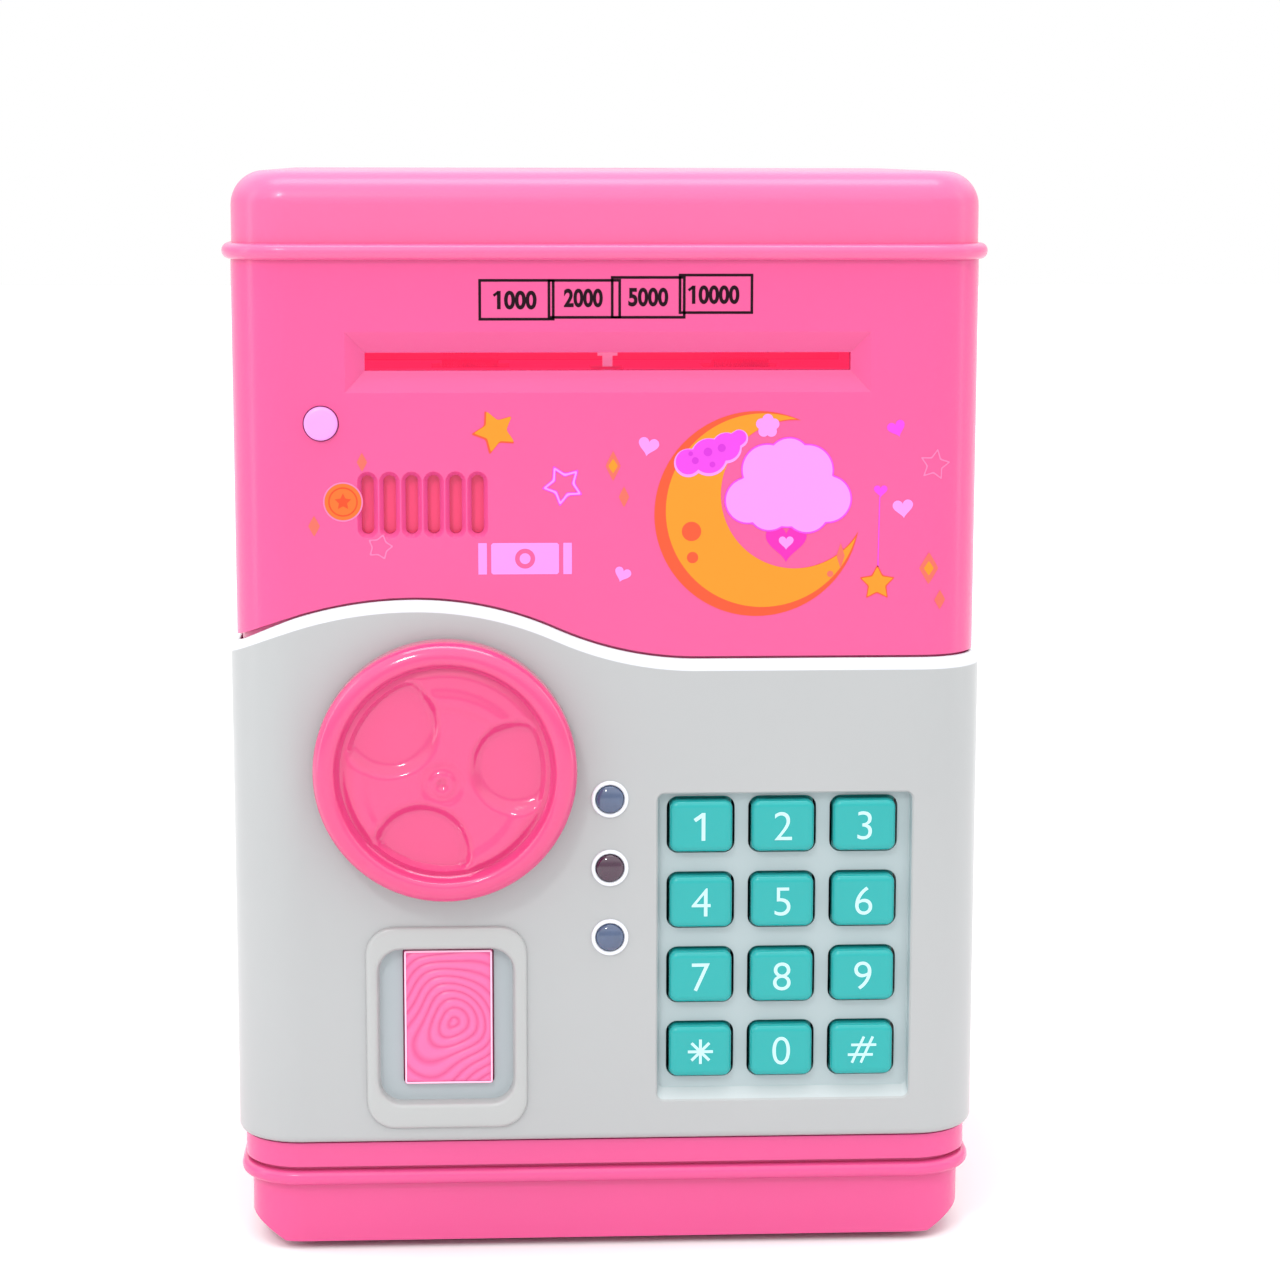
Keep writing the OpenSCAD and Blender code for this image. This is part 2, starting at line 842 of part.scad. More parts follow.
module door_shell() {
    color(pale)
    difference() {
        union() {
            intersection() {
                difference() {
                    slab(0, far * 2)
                        round_rect(hx + door_side, hy + door_proud, corner_r + door_side);
                    slab(-1, far * 3)
                        round_rect(door_in_x, -door_in_y, corner_r - 0.6);
                }
                front_slab(-far, door_rear_y)
                    wave_outline(0);
            }
            front_slab(face_y - finger_proud, face_y + 1)
                round_box(finger_frame, 5);
            front_slab(face_y, finger_floor_y + 1.2)
                round_box(finger_well, 5, 1.2);
            front_slab(face_y, pad_back_y)
                round_box(recess, 2.4, 1.2);
            for (z = led_z)
                y_rod(led_x, z, face_y - 0.5, face_y + 1, led_ring_r);
            for (p = screw_posts)
                y_rod(p[0], p[1], door_in_y - 1, back_y - back_wall, 2.2);
            // bearing collar for the knob's shaft
            y_rod(knob_x, knob_z, door_in_y - 1, cam_y - 0.4, 6);
            for (z = door_knuckles)
                door_knuckle(z);
        }
        front_slab(-far, pad_floor_y)
            round_box(recess, 1.2);
        front_slab(-far, pad_floor_y + 3)
            key_holes();
        front_slab(-far, finger_floor_y)
            round_box(finger_well, 4);
        front_slab(-far, finger_floor_y + 3)
            round_box(finger_pad_box, 0.6, 0.3);
        for (z = led_z)
            y_rod(led_x, z, -far, door_in_y + 1, led_r);
        y_rod(knob_x, knob_z, -far, 0, shaft_r + shaft_play);
        for (p = screw_posts)
            y_rod(p[0], p[1], door_in_y + 1, 0, 0.95);
        z_rod(hinge_x, hinge_y, 0, far * 2, pin_r + pin_play);
    }
}

module door_back() {
    color(pale)
    difference() {
        box(back_x0, back_x1, door_in_y, back_y, back_z0, back_z1);
        z_rod(hinge_x, hinge_y, 0, far * 2, swing_r);
        difference() {
            box(back_x0 + back_wall, back_x1 - back_wall, -far, back_y - back_wall,
                back_z0 + back_wall, back_z1 - back_wall);
            z_rod(hinge_x, hinge_y, 0, far * 2, swing_r + back_wall);
        }
        front_slab(-far, front_y + 4.4)
            round_box(recess, 2.6, 1.4);
        // clear of the curve inside the door's right corner
        box(hx - corner_r, far, -far, door_in_y + 0.2, 0, far * 2);
        y_rod(knob_x, knob_z, -far, far, shaft_r + 0.4);
        for (p = screw_posts)
            y_rod(p[0], p[1], back_y - 3, 0, 1.3);
    }
}

module door_screws() {
    color(steel)
        for (p = screw_posts)
            translate([p[0], back_y, p[1]])
                rotate([-90, 0, 0])
                    cross_screw(2.2, 1.2, 0.95, 8);
}

module door_board() {
    color(board_green)
        box(-6, 46.9, board_y, board_y + board_t, 33.8, 87);
    color(black) {
        box(20, 32, board_y + board_t - eps, board_y + board_t + 1.6, 58, 70);
        box(6, 14, board_y + board_t - eps, board_y + board_t + 1.4, 44, 50);
    }
    color(pale)
        box(-4, 4, board_y + board_t - eps, board_y + board_t + 4, 38, 46);
}

module keypad_mat() {
    color("lightgray") {
        box(recess[0], 48, mat_y, board_y, 29.5, 85);
        for (c = [0 : 2], r = [0 : 3])
            y_rod(min(key_x + c * key_step_x, 44.6), key_z - r * key_step_z, mat_y - 0.3, mat_y + eps, 3);
    }
}

module led(i) {
    z = led_z[i];
    color(i == 1 ? "indigo" : "steelblue") {
        y_rod(led_x, z, face_y - 0.2, board_y - 1, led_r);
        translate([led_x, face_y - 0.2, z])
            rotate([90, 0, 0])
                rotate_extrude()
                    polygon([[0, -0.1], [led_r - 0.1, -0.1], [2.2, 0.5], [1.4, 0.9], [0, 1.1]]);
    }
    color(steel)
        for (s = [-1, 1])
            box(led_x + s * 1.27 - 0.25, led_x + s * 1.27 + 0.25, board_y - 1 - eps,
                board_y, z - 0.25, z + 0.25);
}

module led_top() {
    led(0);
}

module led_middle() {
    led(1);
}

module led_bottom() {
    led(2);
}

module finger_pad() {
    inner_y = finger_floor_y + 1.2;
    color(pink) {
        front_slab(face_y + 0.2, inner_y + 0.9)
            round_box(finger_pad_box, 0.5);
        front_slab(inner_y + 0.1, inner_y + 0.9)
            round_box(finger_pad_box, 0.5, 0.9);
    }
}

module key_cap(c, r) {
    color(teal)
        translate([key_x + c * key_step_x, 0, key_z - r * key_step_z]) {
            front_slab(key_front_y, pad_back_y + 0.9)
                round_rect(key_w / 2, key_h / 2, key_r);
            front_slab(pad_back_y + 0.1, pad_back_y + 0.9)
                round_rect(key_w / 2, key_h / 2 + 1.1, key_r);
        }
}

// ---- Knob and lock ----

module knob() {
    y0 = face_y - 0.3;
    r = knob_d / 2;
    color(pink) {
        translate([knob_x, 0, knob_z])
            rotate([90, 0, 0])
                rotate_extrude($fn = 96)
                    polygon(concat([[0, -y0], [r - 1.2, -y0]],
                        arc(r - 1.2, -y0 + 1.2, 1.2, -90, 0, 4),
                        arc(r - 2.5, -y0 + knob_out - 2.5, 2.5, 0, 90, 6),
                        [[r - 4, -y0 + knob_out], [r - 5, -y0 + knob_out - 1.6],
                        [0, -y0 + knob_out - 2.6]]));
        // raised spokes in the dish
        for (a = [75, 190, 320])
            translate([knob_x, 0, knob_z])
                rotate([0, -a, 0])
                    box(-1, r - 5, y0 - knob_out + 1.4, y0 - knob_out + 3, -2.2, 2.2);
        y_rod(knob_x, knob_z, y0 - eps, arm_y + arm_t - 0.4, shaft_r);
    }
}

module knob_screw() {
    color(steel)
        translate([knob_x, arm_y + arm_t, knob_z])
            rotate([-90, 0, 0])
                cylinder(r = 3.4, h = 1.4);
}

module lock_cam() {
    color(pale)
    difference() {
        y_rod(knob_x, knob_z, cam_y, cam_y + cam_t, cam_r);
        y_rod(knob_x, knob_z, -far, far, shaft_r);
        // notches for the plunger, open and locked
        for (a = [270, 270 + lock_turn])
            translate([knob_x, lock_y, knob_z])
                rotate([0, -a, 0])
                    box(cam_r - 3.2, far / 5, -cam_t, cam_t, -2.1, 2.1);
    }
}

module latch_arm() {
    color(steel)
    front_slab(arm_y, arm_y + arm_t)
        difference() {
            translate([knob_x, knob_z])
                rotate(arm_rest_a) {
                    circle(6.2);
                    translate([0, -4])
                        square([arm_len - 4, 8]);
                    translate([arm_len - 4, 0])
                        circle(4);
                }
            translate([knob_x, knob_z])
                circle(shaft_r);
        }
}

module lock_coil() {
    color("darkgoldenrod")
    difference() {
        box(lock_x - 5.5, lock_x + 5.5, lock_y - 3.6, lock_y + 4.2, coil_z0, coil_z1);
        z_rod(lock_x, lock_y, 0, far * 2, plunger_r + 0.08);
    }
}

module lock_plunger() {
    color(steel) {
        z_rod(lock_x, lock_y, coil_z0 - 7.5, coil_z1 + 2.2, plunger_r);
        z_rod(lock_x, lock_y, coil_z0 - 7.5, coil_z0 - 6.3, 3.2);
    }
}

module lock_spring() {
    turns = 4;
    span = 6.3;
    color(steel)
        for (i = [0 : turns - 1])
            translate([lock_x, lock_y, coil_z0 - span + (i + 0.5) * span / turns])
                rotate_extrude($fn = 32)
                    translate([2.5, 0])
                        circle(r = 0.35, $fn = 16);
}

base_tray();
body_shell();
lid();
base_screws();
lid_screws();
hinge_pin();
battery_box();
battery_cells();
battery_springs();
battery_cover();
cover_screw();
speaker_holder();
speaker();
main_board();
button_board();
setup_button();
feed_frame();
feed_motor();
motor_pinion();
drive_axle();
drive_tyres();
drive_gear();
pinch_axle();
pinch_tyres();
note_flap();
flap_pin();
note_switch();
door_shell();
door_back();
door_board();
keypad_mat();
door_screws();
led_top();
led_middle();
led_bottom();
finger_pad();
knob();
knob_screw();
lock_cam();
latch_arm();
lock_coil();
lock_plunger();
lock_spring();
key_cap(0, 0);  // key_1
key_cap(1, 0);  // key_2
key_cap(2, 0);  // key_3
key_cap(0, 1);  // key_4
key_cap(1, 1);  // key_5
key_cap(2, 1);  // key_6
key_cap(0, 2);  // key_7
key_cap(1, 2);  // key_8
key_cap(2, 2);  // key_9
key_cap(0, 3);  // key_star
key_cap(1, 3);  // key_0
key_cap(2, 3);  // key_hash
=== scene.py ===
import math

import bmesh
import bpy
from mathutils import Matrix, Vector


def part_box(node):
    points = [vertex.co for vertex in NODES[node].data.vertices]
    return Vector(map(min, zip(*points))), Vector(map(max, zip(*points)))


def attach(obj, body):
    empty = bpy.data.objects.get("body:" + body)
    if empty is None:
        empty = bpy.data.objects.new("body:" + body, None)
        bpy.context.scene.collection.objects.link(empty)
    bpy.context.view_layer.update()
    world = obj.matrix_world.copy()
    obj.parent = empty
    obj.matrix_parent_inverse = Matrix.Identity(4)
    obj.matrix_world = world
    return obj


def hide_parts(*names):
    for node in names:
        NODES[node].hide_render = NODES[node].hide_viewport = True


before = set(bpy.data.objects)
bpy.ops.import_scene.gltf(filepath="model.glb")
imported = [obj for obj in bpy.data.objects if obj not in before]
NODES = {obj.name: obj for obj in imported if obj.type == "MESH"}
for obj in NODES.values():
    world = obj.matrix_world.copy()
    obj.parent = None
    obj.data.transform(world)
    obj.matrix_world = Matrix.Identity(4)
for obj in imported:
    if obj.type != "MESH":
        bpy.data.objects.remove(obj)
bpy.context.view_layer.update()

MM = 0.001

# ------------------------------------------------------------ sizes, in mm
CASE_X, CASE_Y, CORNER = 65.6, 57.3, 10.5       # half width, half depth and corner radius
DOOR_X, DOOR_Y, DOOR_R = 66.7, 58.7, 11.6       # the same for the door's outer surface
DOOR_REAR = -41.0                               # rear end of the door's two sides
DOOR_BOTTOM, DOOR_FLAT, DOOR_CREST, CREST_X = 20.4, 107.5, 118.2, -34.0
LEFT_R, RIGHT_R, TROUGH_R = 70.0, 60.0, 61.0    # arcs of the door's upper edge, left to right
FRONT = -CASE_Y                                 # depth of the case's front face
FACE = -DOOR_Y                                  # depth of the door's front face
HINGE_X, HINGE_Y = 64.2, -38.6
KNOB_X, KNOB_Z, KNOB_FRONT = -28.8, 88.6, -65.55
KEY_X, KEY_Z, KEY_STEP_X, KEY_STEP_Z = 16.3, 77.6, 14.5, 13.7
KEY_W, KEY_H, KEY_R, KEY_TOP = 11.1, 9.3, 1.5, -58.91
LED_X, LED_R, LED_SEAT = 0.1, 2.5, -58.7
LEDS = {"led_top": 82.7, "led_middle": 70.3, "led_bottom": 57.7}
BUTTON_X, BUTTON_Z = -49.8, 149.0


# ------------------------------------------------------------ materials
LOW, HIGH = 0.3, 0.7                            # most of a noise lies between these values
SKIN_GRAIN, SKIN_RELIEF, CLOUD = 900, 0.000004, 16


def linear(r, g, b):
    """Linear colour from 8-bit sRGB values."""
    out = []
    for v in (r, g, b):
        v /= 255
        out.append(v / 12.92 if v <= 0.04045 else ((v + 0.055) / 1.055) ** 2.4)
    return tuple(out)


def shade(c, k):
    return tuple(min(1.0, v * k) for v in c)


class Mat:
    """One procedural material: a shader with noise for colour, gloss and fine relief."""

    def __init__(self, name):
        self.m = bpy.data.materials.new(name)
        self.m.use_nodes = True
        self.nt = self.m.node_tree
        self.bsdf = self.nt.nodes["Principled BSDF"]
        self.pos = self.node("ShaderNodeTexCoord").outputs["Object"]

    def node(self, kind, **settings):
        n = self.nt.nodes.new(kind)
        for k, v in settings.items():
            setattr(n, k, v)
        return n

    def link(self, a, b):
        self.nt.links.new(a, b)

    def scaled(self, scale):
        m = self.node("ShaderNodeMapping")
        m.inputs["Scale"].default_value = scale
        self.link(self.pos, m.inputs["Vector"])
        return m.outputs["Vector"]

    def noise(self, scale, detail=2.0, vector=None):
        n = self.node("ShaderNodeTexNoise")
        n.inputs["Scale"].default_value = scale
        n.inputs["Detail"].default_value = detail
        self.link(vector or self.pos, n.inputs["Vector"])
        return n.outputs["Fac"]

    def ramp(self, fac, stops, constant=False):
        """Colours at given places of a value, blended, or in steps."""
        r = self.node("ShaderNodeValToRGB")
        if constant:
            r.color_ramp.interpolation = "CONSTANT"
        els = r.color_ramp.elements
        while len(els) < len(stops):
            els.new(0.5)
        for e, (p, c) in zip(els, stops):
            e.position = p
            e.color = (*c, 1) if len(c) == 3 else c
        self.link(fac, r.inputs["Fac"])
        return r.outputs["Color"]

    def span(self, fac, low, high, a=LOW, b=HIGH):
        """Turns the range a to b of a value into low to high."""
        r = self.node("ShaderNodeMapRange")
        for k, v in zip(("From Min", "From Max", "To Min", "To Max"), (a, b, low, high)):
            r.inputs[k].default_value = v
        self.link(fac, r.inputs["Value"])
        return r.outputs["Result"]

    def bump(self, height, strength, distance):
        b = self.node("ShaderNodeBump")
        b.inputs["Strength"].default_value = strength
        b.inputs["Distance"].default_value = distance
        self.link(height, b.inputs["Height"])
        self.link(b.outputs["Normal"], self.bsdf.inputs["Normal"])

    def colour(self, socket):
        self.link(socket, self.bsdf.inputs["Base Color"])

    def tint(self, fac, c, dark, pale):
        """Varies one colour between two strengths of itself."""
        self.colour(self.ramp(fac, [(LOW, shade(c, dark)), (HIGH, shade(c, pale))]))

    def rough(self, socket):
        self.link(socket, self.bsdf.inputs["Roughness"])

    def set(self, **values):
        for k, v in values.items():
            self.bsdf.inputs[k.replace("_", " ")].default_value = v
        return self


def plastic(name, rgb, rough=0.32, vary=0.03, coat=0.0, sub=0.0, glow=0.0, ior=1.48):
    """Moulded plastic: faint clouds of colour, slightly uneven gloss and a fine skin; glow adds a
    painted glow of its own colour.
    """
    m = Mat(name)
    c = linear(*rgb)
    m.tint(m.noise(CLOUD, 3.0), c, 1 - vary, 1 + vary)
    m.rough(m.span(m.noise(CLOUD * 3), rough - 0.02, rough + 0.03))
    m.bump(m.noise(SKIN_GRAIN), 0.35, SKIN_RELIEF)
    m.set(IOR=ior, Coat_Weight=coat, Coat_Roughness=0.12)
    if glow:
        m.set(Emission_Color=(*c, 1), Emission_Strength=glow)
    if sub:
        m.set(Subsurface_Weight=sub, Subsurface_Scale=0.004)
        m.bsdf.inputs["Subsurface Radius"].default_value = (1.0, 0.35, 0.5)
    return m.m


def metal(name, rgb, rough=0.3, stretch=(1, 1, 1), grain=900):
    """Metal with a fine grain, which stretch draws out into turning or brushing lines."""
    m = Mat(name)
    fine = m.noise(grain, 4.0, m.scaled(stretch))
    m.tint(fine, linear(*rgb), 0.82, 1.08)
    m.rough(m.span(fine, rough - 0.08, rough + 0.14))
    m.bump(fine, 0.25, 0.00003)
    return m.set(Metallic=1.0).m


def circuit(name):
    """A green circuit board with a pattern of tracks."""
    m = Mat(name)
    tracks = m.node("ShaderNodeTexBrick")
    tracks.inputs["Scale"].default_value = 260
    tracks.inputs["Mortar Size"].default_value = 0.035
    tracks.inputs["Color1"].default_value = (0.012, 0.15, 0.05, 1)
    tracks.inputs["Color2"].default_value = (0.014, 0.19, 0.065, 1)
    tracks.inputs["Mortar"].default_value = (0.05, 0.33, 0.10, 1)
    turned = m.node("ShaderNodeMapping")
    turned.inputs["Rotation"].default_value = (math.pi / 2, 0, 0)
    m.link(m.pos, turned.inputs["Vector"])
    m.link(turned.outputs["Vector"], tracks.inputs["Vector"])
    m.colour(tracks.outputs["Color"])
    m.rough(m.span(m.noise(500), 0.28, 0.42))
    m.bump(tracks.outputs["Fac"], 0.3, 0.00004)
    return m.m


def cell_wrap(name):
    """A dry cell's printed sleeve: a black body, a copper band and bare ends, by height."""
    m = Mat(name)
    split = m.node("ShaderNodeSeparateXYZ")
    m.link(m.pos, split.inputs["Vector"])
    band = m.span(split.outputs["Z"], 0.0, 1.0, 0.030, 0.082)
    m.colour(m.ramp(band, [(0.0, (0.55, 0.55, 0.56)), (0.03, (0.02, 0.02, 0.022)),
                           (0.66, (0.62, 0.30, 0.05)), (0.955, (0.62, 0.62, 0.63))], True))
    m.rough(m.span(m.noise(300, 4.0), 0.22, 0.36))
    m.bump(m.noise(1500), 0.2, 0.00002)
    return m.set(Metallic=0.35).m


def wound(name, rgb):
    """Fine wire wound in even turns, the colour darker between turns as painted shade in the grooves.
    """
    m = Mat(name)
    w = m.node("ShaderNodeTexWave", bands_direction="Z")
    w.inputs["Scale"].default_value = 700
    w.inputs["Distortion"].default_value = 0.4
    m.link(m.pos, w.inputs["Vector"])
    c = linear(*rgb)
    m.colour(m.ramp(w.outputs["Fac"], [(0.2, shade(c, 0.5)), (0.8, c)]))
    m.rough(m.span(w.outputs["Fac"], 0.3, 0.5, 0, 1))
    m.bump(w.outputs["Fac"], 0.6, 0.0001)
    return m.set(Metallic=0.7).m


def rubber(name, rgb, lines=0.0, glow=0.0):
    """Matt rubber, with tread lines or a fine grain; glow adds a painted glow of its own colour."""
    m = Mat(name)
    c = linear(*rgb)
    if glow:
        m.set(Emission_Color=(*c, 1), Emission_Strength=glow)
    m.tint(m.noise(180, 5.0), c, 0.8, 1.35)
    m.rough(m.span(m.noise(700), 0.7, 0.9))
    if lines:
        w = m.node("ShaderNodeTexWave", bands_direction="X")
        w.inputs["Scale"].default_value = lines
        m.link(m.pos, w.inputs["Vector"])
        m.bump(w.outputs["Fac"], 0.7, 0.0002)
    else:
        m.bump(m.noise(1300, 3.0), 0.5, 0.00006)
    return m.m


def ridged(name, groove, crest):
    """The fingerprint pad: pale crests and darker grooves, from the pattern stored on its mesh, as
    painted light on the crests and painted shade in the grooves.
    """
    m = Mat(name)
    height = m.node("ShaderNodeAttribute", attribute_name="ridge").outputs["Fac"]
    m.colour(m.ramp(height, [(0.12, linear(*groove)), (0.8, linear(*crest))]))
    m.rough(m.span(m.noise(300), 0.30, 0.38))
    return m.set(IOR=1.48).m


def lens(name, rgb):
    """A dark glossy lens."""
    m = Mat(name)
    c = linear(*rgb)
    m.colour(m.ramp(m.noise(420), [(0.35, shade(c, 0.94)), (0.65, shade(c, 1.06))]))
    m.rough(m.span(m.noise(900), 0.05, 0.09))
    return m.set(IOR=1.52, Coat_Weight=0.6, Coat_Roughness=0.04).m


PINK = plastic("moulded_pink", (206, 72, 129), 0.24, 0.02, sub=0.06)
# the case's pink, made paler on the lid: a painted sheen of the top light on its front
LID_SHEEN_PINK = plastic("lid_pink_painted_sheen", (212, 85, 135), 0.30, 0.02, coat=0.1, sub=0.06)
VENT_PINK = plastic("vent_pink", (226, 60, 112), 0.34, 0.03)
# the note slot's inside glows a little: a painted glow standing in for light through the thin pink
# plastic
PINK_IN = plastic("moulded_pink_inside_painted_glow", (236, 58, 112), 0.42, 0.03, glow=0.5)
# the flap in the slot glows a little: a painted glow
FLAP_PINK = plastic("flap_pink_painted_glow", (240, 120, 172), 0.34, 0.03, glow=0.35)
KNOB_PINK = plastic("knob_pink", (202, 59, 114), 0.12, 0.02, coat=0.4, sub=0.08)
# the pad's colour follows the height of its ridges: painted light on the crests and painted shade in
# the grooves
PAD_PINK = ridged("pad_pink", (202, 74, 130), (226, 96, 150))
# a pale pink for the thin rim round the pad: a painted highlight on its edge
PAD_EDGE_HIGHLIGHT = plastic("pad_edge", (242, 180, 208), 0.34, 0.03)
GREY = plastic("door_grey", (160, 162, 163), 0.30, 0.015)
# a paler grey for the upward faces of the door's top band: a painted highlight
RIM_HIGHLIGHT_GREY = plastic("door_rim_painted_highlight", (200, 202, 208), 0.24, 0.015)
# the door's grey, bluer, for the fingerprint well: painted shade of the recess
WELL_SHADE_GREY = plastic("well_grey_painted_shade", (156, 165, 169), 0.36, 0.02)
# the door's grey, a little paler, for the raised frame round the well: painted light
FRAME_LIT_GREY = plastic("frame_grey_painted_light", (164, 166, 166), 0.30, 0.015)
RING_WHITE = plastic("ring_white", (212, 215, 222), 0.24, 0.015)
# a paler grey for the upward faces of the keypad recess's lower wall: a painted highlight
LEDGE_HIGHLIGHT_GREY = plastic("recess_ledge_painted_highlight", (172, 180, 182), 0.36, 0.02)
# the door's grey tinted blue-green for the keypad recess: painted shade and a painted reflection of
# the teal keys
RECESS_SHADE_TINT = plastic("recess_grey_painted_shade_and_reflection", (158, 171, 174), 0.36, 0.03)
TEAL = plastic("key_teal", (18, 149, 148), 0.24, 0.03)
INK_KEY = plastic("key_print", (172, 212, 216), 0.45, 0.03)
LILAC = plastic("lilac_plastic", (216, 138, 212), 0.31, 0.03)
BLACK = plastic("black_plastic", (38, 38, 41), 0.45, 0.12)
WHITE = plastic("white_plastic", (188, 188, 184), 0.40, 0.03)
INK = {n: plastic("print_" + n, c, 0.36, 0.03, ior=1.2) for n, c in {
    "black": (26, 4, 16), "violet": (182, 50, 184), "lilac": (214, 130, 208),
    "orange": (226, 130, 40), "rim": (222, 78, 50), "magenta": (200, 66, 196),
    "coin": (226, 100, 46), "coin_line": (198, 70, 40), "coral": (226, 96, 84),
    "rose": (226, 112, 158), "deep": (204, 44, 156)}.items()}
STEEL = metal("bright_steel", (200, 201, 204), 0.24, (60, 60, 1), 40)
ZINC = metal("zinc_plate", (186, 189, 194), 0.34, grain=1400)
BRASS = metal("brass", (214, 170, 84), 0.28, grain=1200)
CAN = metal("motor_can", (178, 180, 184), 0.32, (1, 60, 60), 30)
BOARD = circuit("circuit_board")
CELL = cell_wrap("cell_wrap")
COPPER = wound("copper_winding_painted_shade", (190, 104, 52))
# the rollers glow a little: a painted glow that keeps them from looking dark in the slot
TYRE = rubber("roller_tyre_painted_glow", (232, 52, 104), 900, 0.5)
# the keys' teal, darkened far, for the keypad membrane: painted shade in the gaps round the keys
MAT_SHADE_RUBBER = rubber("keypad_rubber_painted_shade", (6, 44, 50))
LENS_BLUE = lens("lens_blue", (62, 78, 108))
LENS_DARK = lens("lens_dark", (54, 20, 46))


# ------------------------------------------------------------ mesh helpers
def loft(loops, closed=True, first=False, last=False):
    """Faces between each loop of points and the next; first and last cap the ends."""
    n = len(loops[0])
    verts = [p for loop in loops for p in loop]
    faces = []
    for i in range(len(loops) - 1):
        for j in range(n if closed else n - 1):
            k = (j + 1) % n
            faces.append((i * n + j, i * n + k, (i + 1) * n + k, (i + 1) * n + j))
    if first:
        faces.append(tuple(reversed(range(n))))
    if last:
        faces.append(tuple((len(loops) - 1) * n + j for j in range(n)))
    return verts, faces


def solid(loops):
    """A closed form through a row of loops."""
    return loft(loops, True, True, True)


def joined(*parts):
    """Several (points, faces) forms as one."""
    verts, faces = [], []
    for v, f in parts:
        base = len(verts)
        verts += v
        faces += [tuple(i + base for i in q) for q in f]
    return verts, faces


def mesh_of(name, geometry, recalc=True):
    """A mesh in metres from points in mm and faces."""
    verts, faces = geometry
    me = bpy.data.meshes.new(name)
    me.from_pydata([Vector(v) * MM for v in verts], [], faces)
    bm = bmesh.new()
    bm.from_mesh(me)
    bmesh.ops.remove_doubles(bm, verts=bm.verts, dist=1e-7)
    if recalc:
        bmesh.ops.recalc_face_normals(bm, faces=bm.faces)
    bm.to_mesh(me)
    bm.free()
    return me


def smooth(ob, angle):
    """Smooth shading that breaks at edges sharper than the angle and keeps large faces flat."""
    me = ob.data
    me.polygons.foreach_set("use_smooth", [True] * len(me.polygons))
    bm = bmesh.new()
    bm.from_mesh(me)
    limit = math.radians(angle)
    for e in bm.edges:
        e.smooth = len(e.link_faces) == 2 and e.calc_face_angle(0) < limit
    bm.to_mesh(me)
    bm.free()
    m = ob.modifiers.new("flat_faces", "WEIGHTED_NORMAL")
    m.keep_sharp = True
    bpy.context.view_layer.update()
    baked(ob)


def baked(ob):
    """Applies the object's modifiers to its mesh."""
    dg = bpy.context.evaluated_depsgraph_get()
    me = bpy.data.meshes.new_from_object(ob.evaluated_get(dg))
    ob.modifiers.clear()
    ob.data = me


def linked(name, data):
    ob = bpy.data.objects.new(name, data)
    bpy.context.scene.collection.objects.link(ob)
    return ob


def placed(ob, material, body, nodes=(), angle=None):
    """Gives a piece its material, shading and body, and the CAD nodes it stands for."""
    ob.data.materials.clear()
    ob.data.materials.append(material)
    if angle:
        smooth(ob, angle)
    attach(ob, body)
    if nodes:
        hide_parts(*nodes)
    return ob


def cut(ob, geometries):
    """Takes closed forms out of a piece."""
    cutters = []
    for i, g in enumerate(geometries):
        c = linked("cutter_%d" % i, mesh_of("cutter", g))
        cutters.append(c)
        m = ob.modifiers.new("cut", "BOOLEAN")
        m.operation = "DIFFERENCE"
        m.solver = "EXACT"
        m.object = c
    bpy.context.view_layer.update()
    baked(ob)
    for c in cutters:
        bpy.data.objects.remove(c)


def piece(name, geometry, material, body, nodes=(), angle=35, cuts=(), recalc=True):
    """A new piece from points and faces, in mm."""
    ob = linked(name, mesh_of(name, geometry, recalc))
    if cuts:
        cut(ob, cuts)
    return placed(ob, material, body, nodes, angle)


def rounded(ob, width):
    """Rounds the sharp edges of a piece."""
    m = ob.modifiers.new("edges", "BEVEL")
    m.width = width * MM
    m.segments = 2
    m.limit_method = "ANGLE"
    m.angle_limit = math.radians(30)
    m.use_clamp_overlap = True
    bpy.context.view_layer.update()
    baked(ob)


def bead(bm, node, width, corner):
    """Rounds the two outer edges of the rim that stands out furthest round a node."""
    (x0, y0, _), (x1, y1, _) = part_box(node)
    near = 0.15 * MM

    def outside(v):
        qx = abs(v.co.x - (x0 + x1) / 2) - (x1 - x0) / 2 + corner * MM
        qy = abs(v.co.y - (y0 + y1) / 2) - (y1 - y0) / 2 + corner * MM
        return math.hypot(max(qx, 0), max(qy, 0)) + min(max(qx, qy), 0) - corner * MM

    edges = [e for e in bm.edges if abs(e.verts[0].co.z - e.verts[1].co.z) < near
             and all(abs(outside(v)) < near for v in e.verts)]
    bmesh.ops.bevel(bm, geom=edges, offset=width * MM, segments=5, profile=0.5, affect="EDGES")


def from_cad(name, node, material, body, bevel, rim=None):
    """A copy of a CAD node's form with its sharp edges rounded."""
    me = NODES[node].data.copy()
    me.name = name
    bm = bmesh.new()
    bm.from_mesh(me)
    bmesh.ops.remove_doubles(bm, verts=bm.verts, dist=1e-6)
    bmesh.ops.dissolve_limit(bm, angle_limit=math.radians(0.6), verts=bm.verts, edges=bm.edges)
    if rim:
        bead(bm, node, *rim)
    bm.to_mesh(me)
    bm.free()
    ob = linked(name, me)
    rounded(ob, bevel)
    return placed(ob, material, body, [node], 35)


def repaint(node, material):
    """Gives a CAD node that keeps its form a better material."""
    materials = NODES[node].data.materials
    materials.clear()
    materials.append(material)


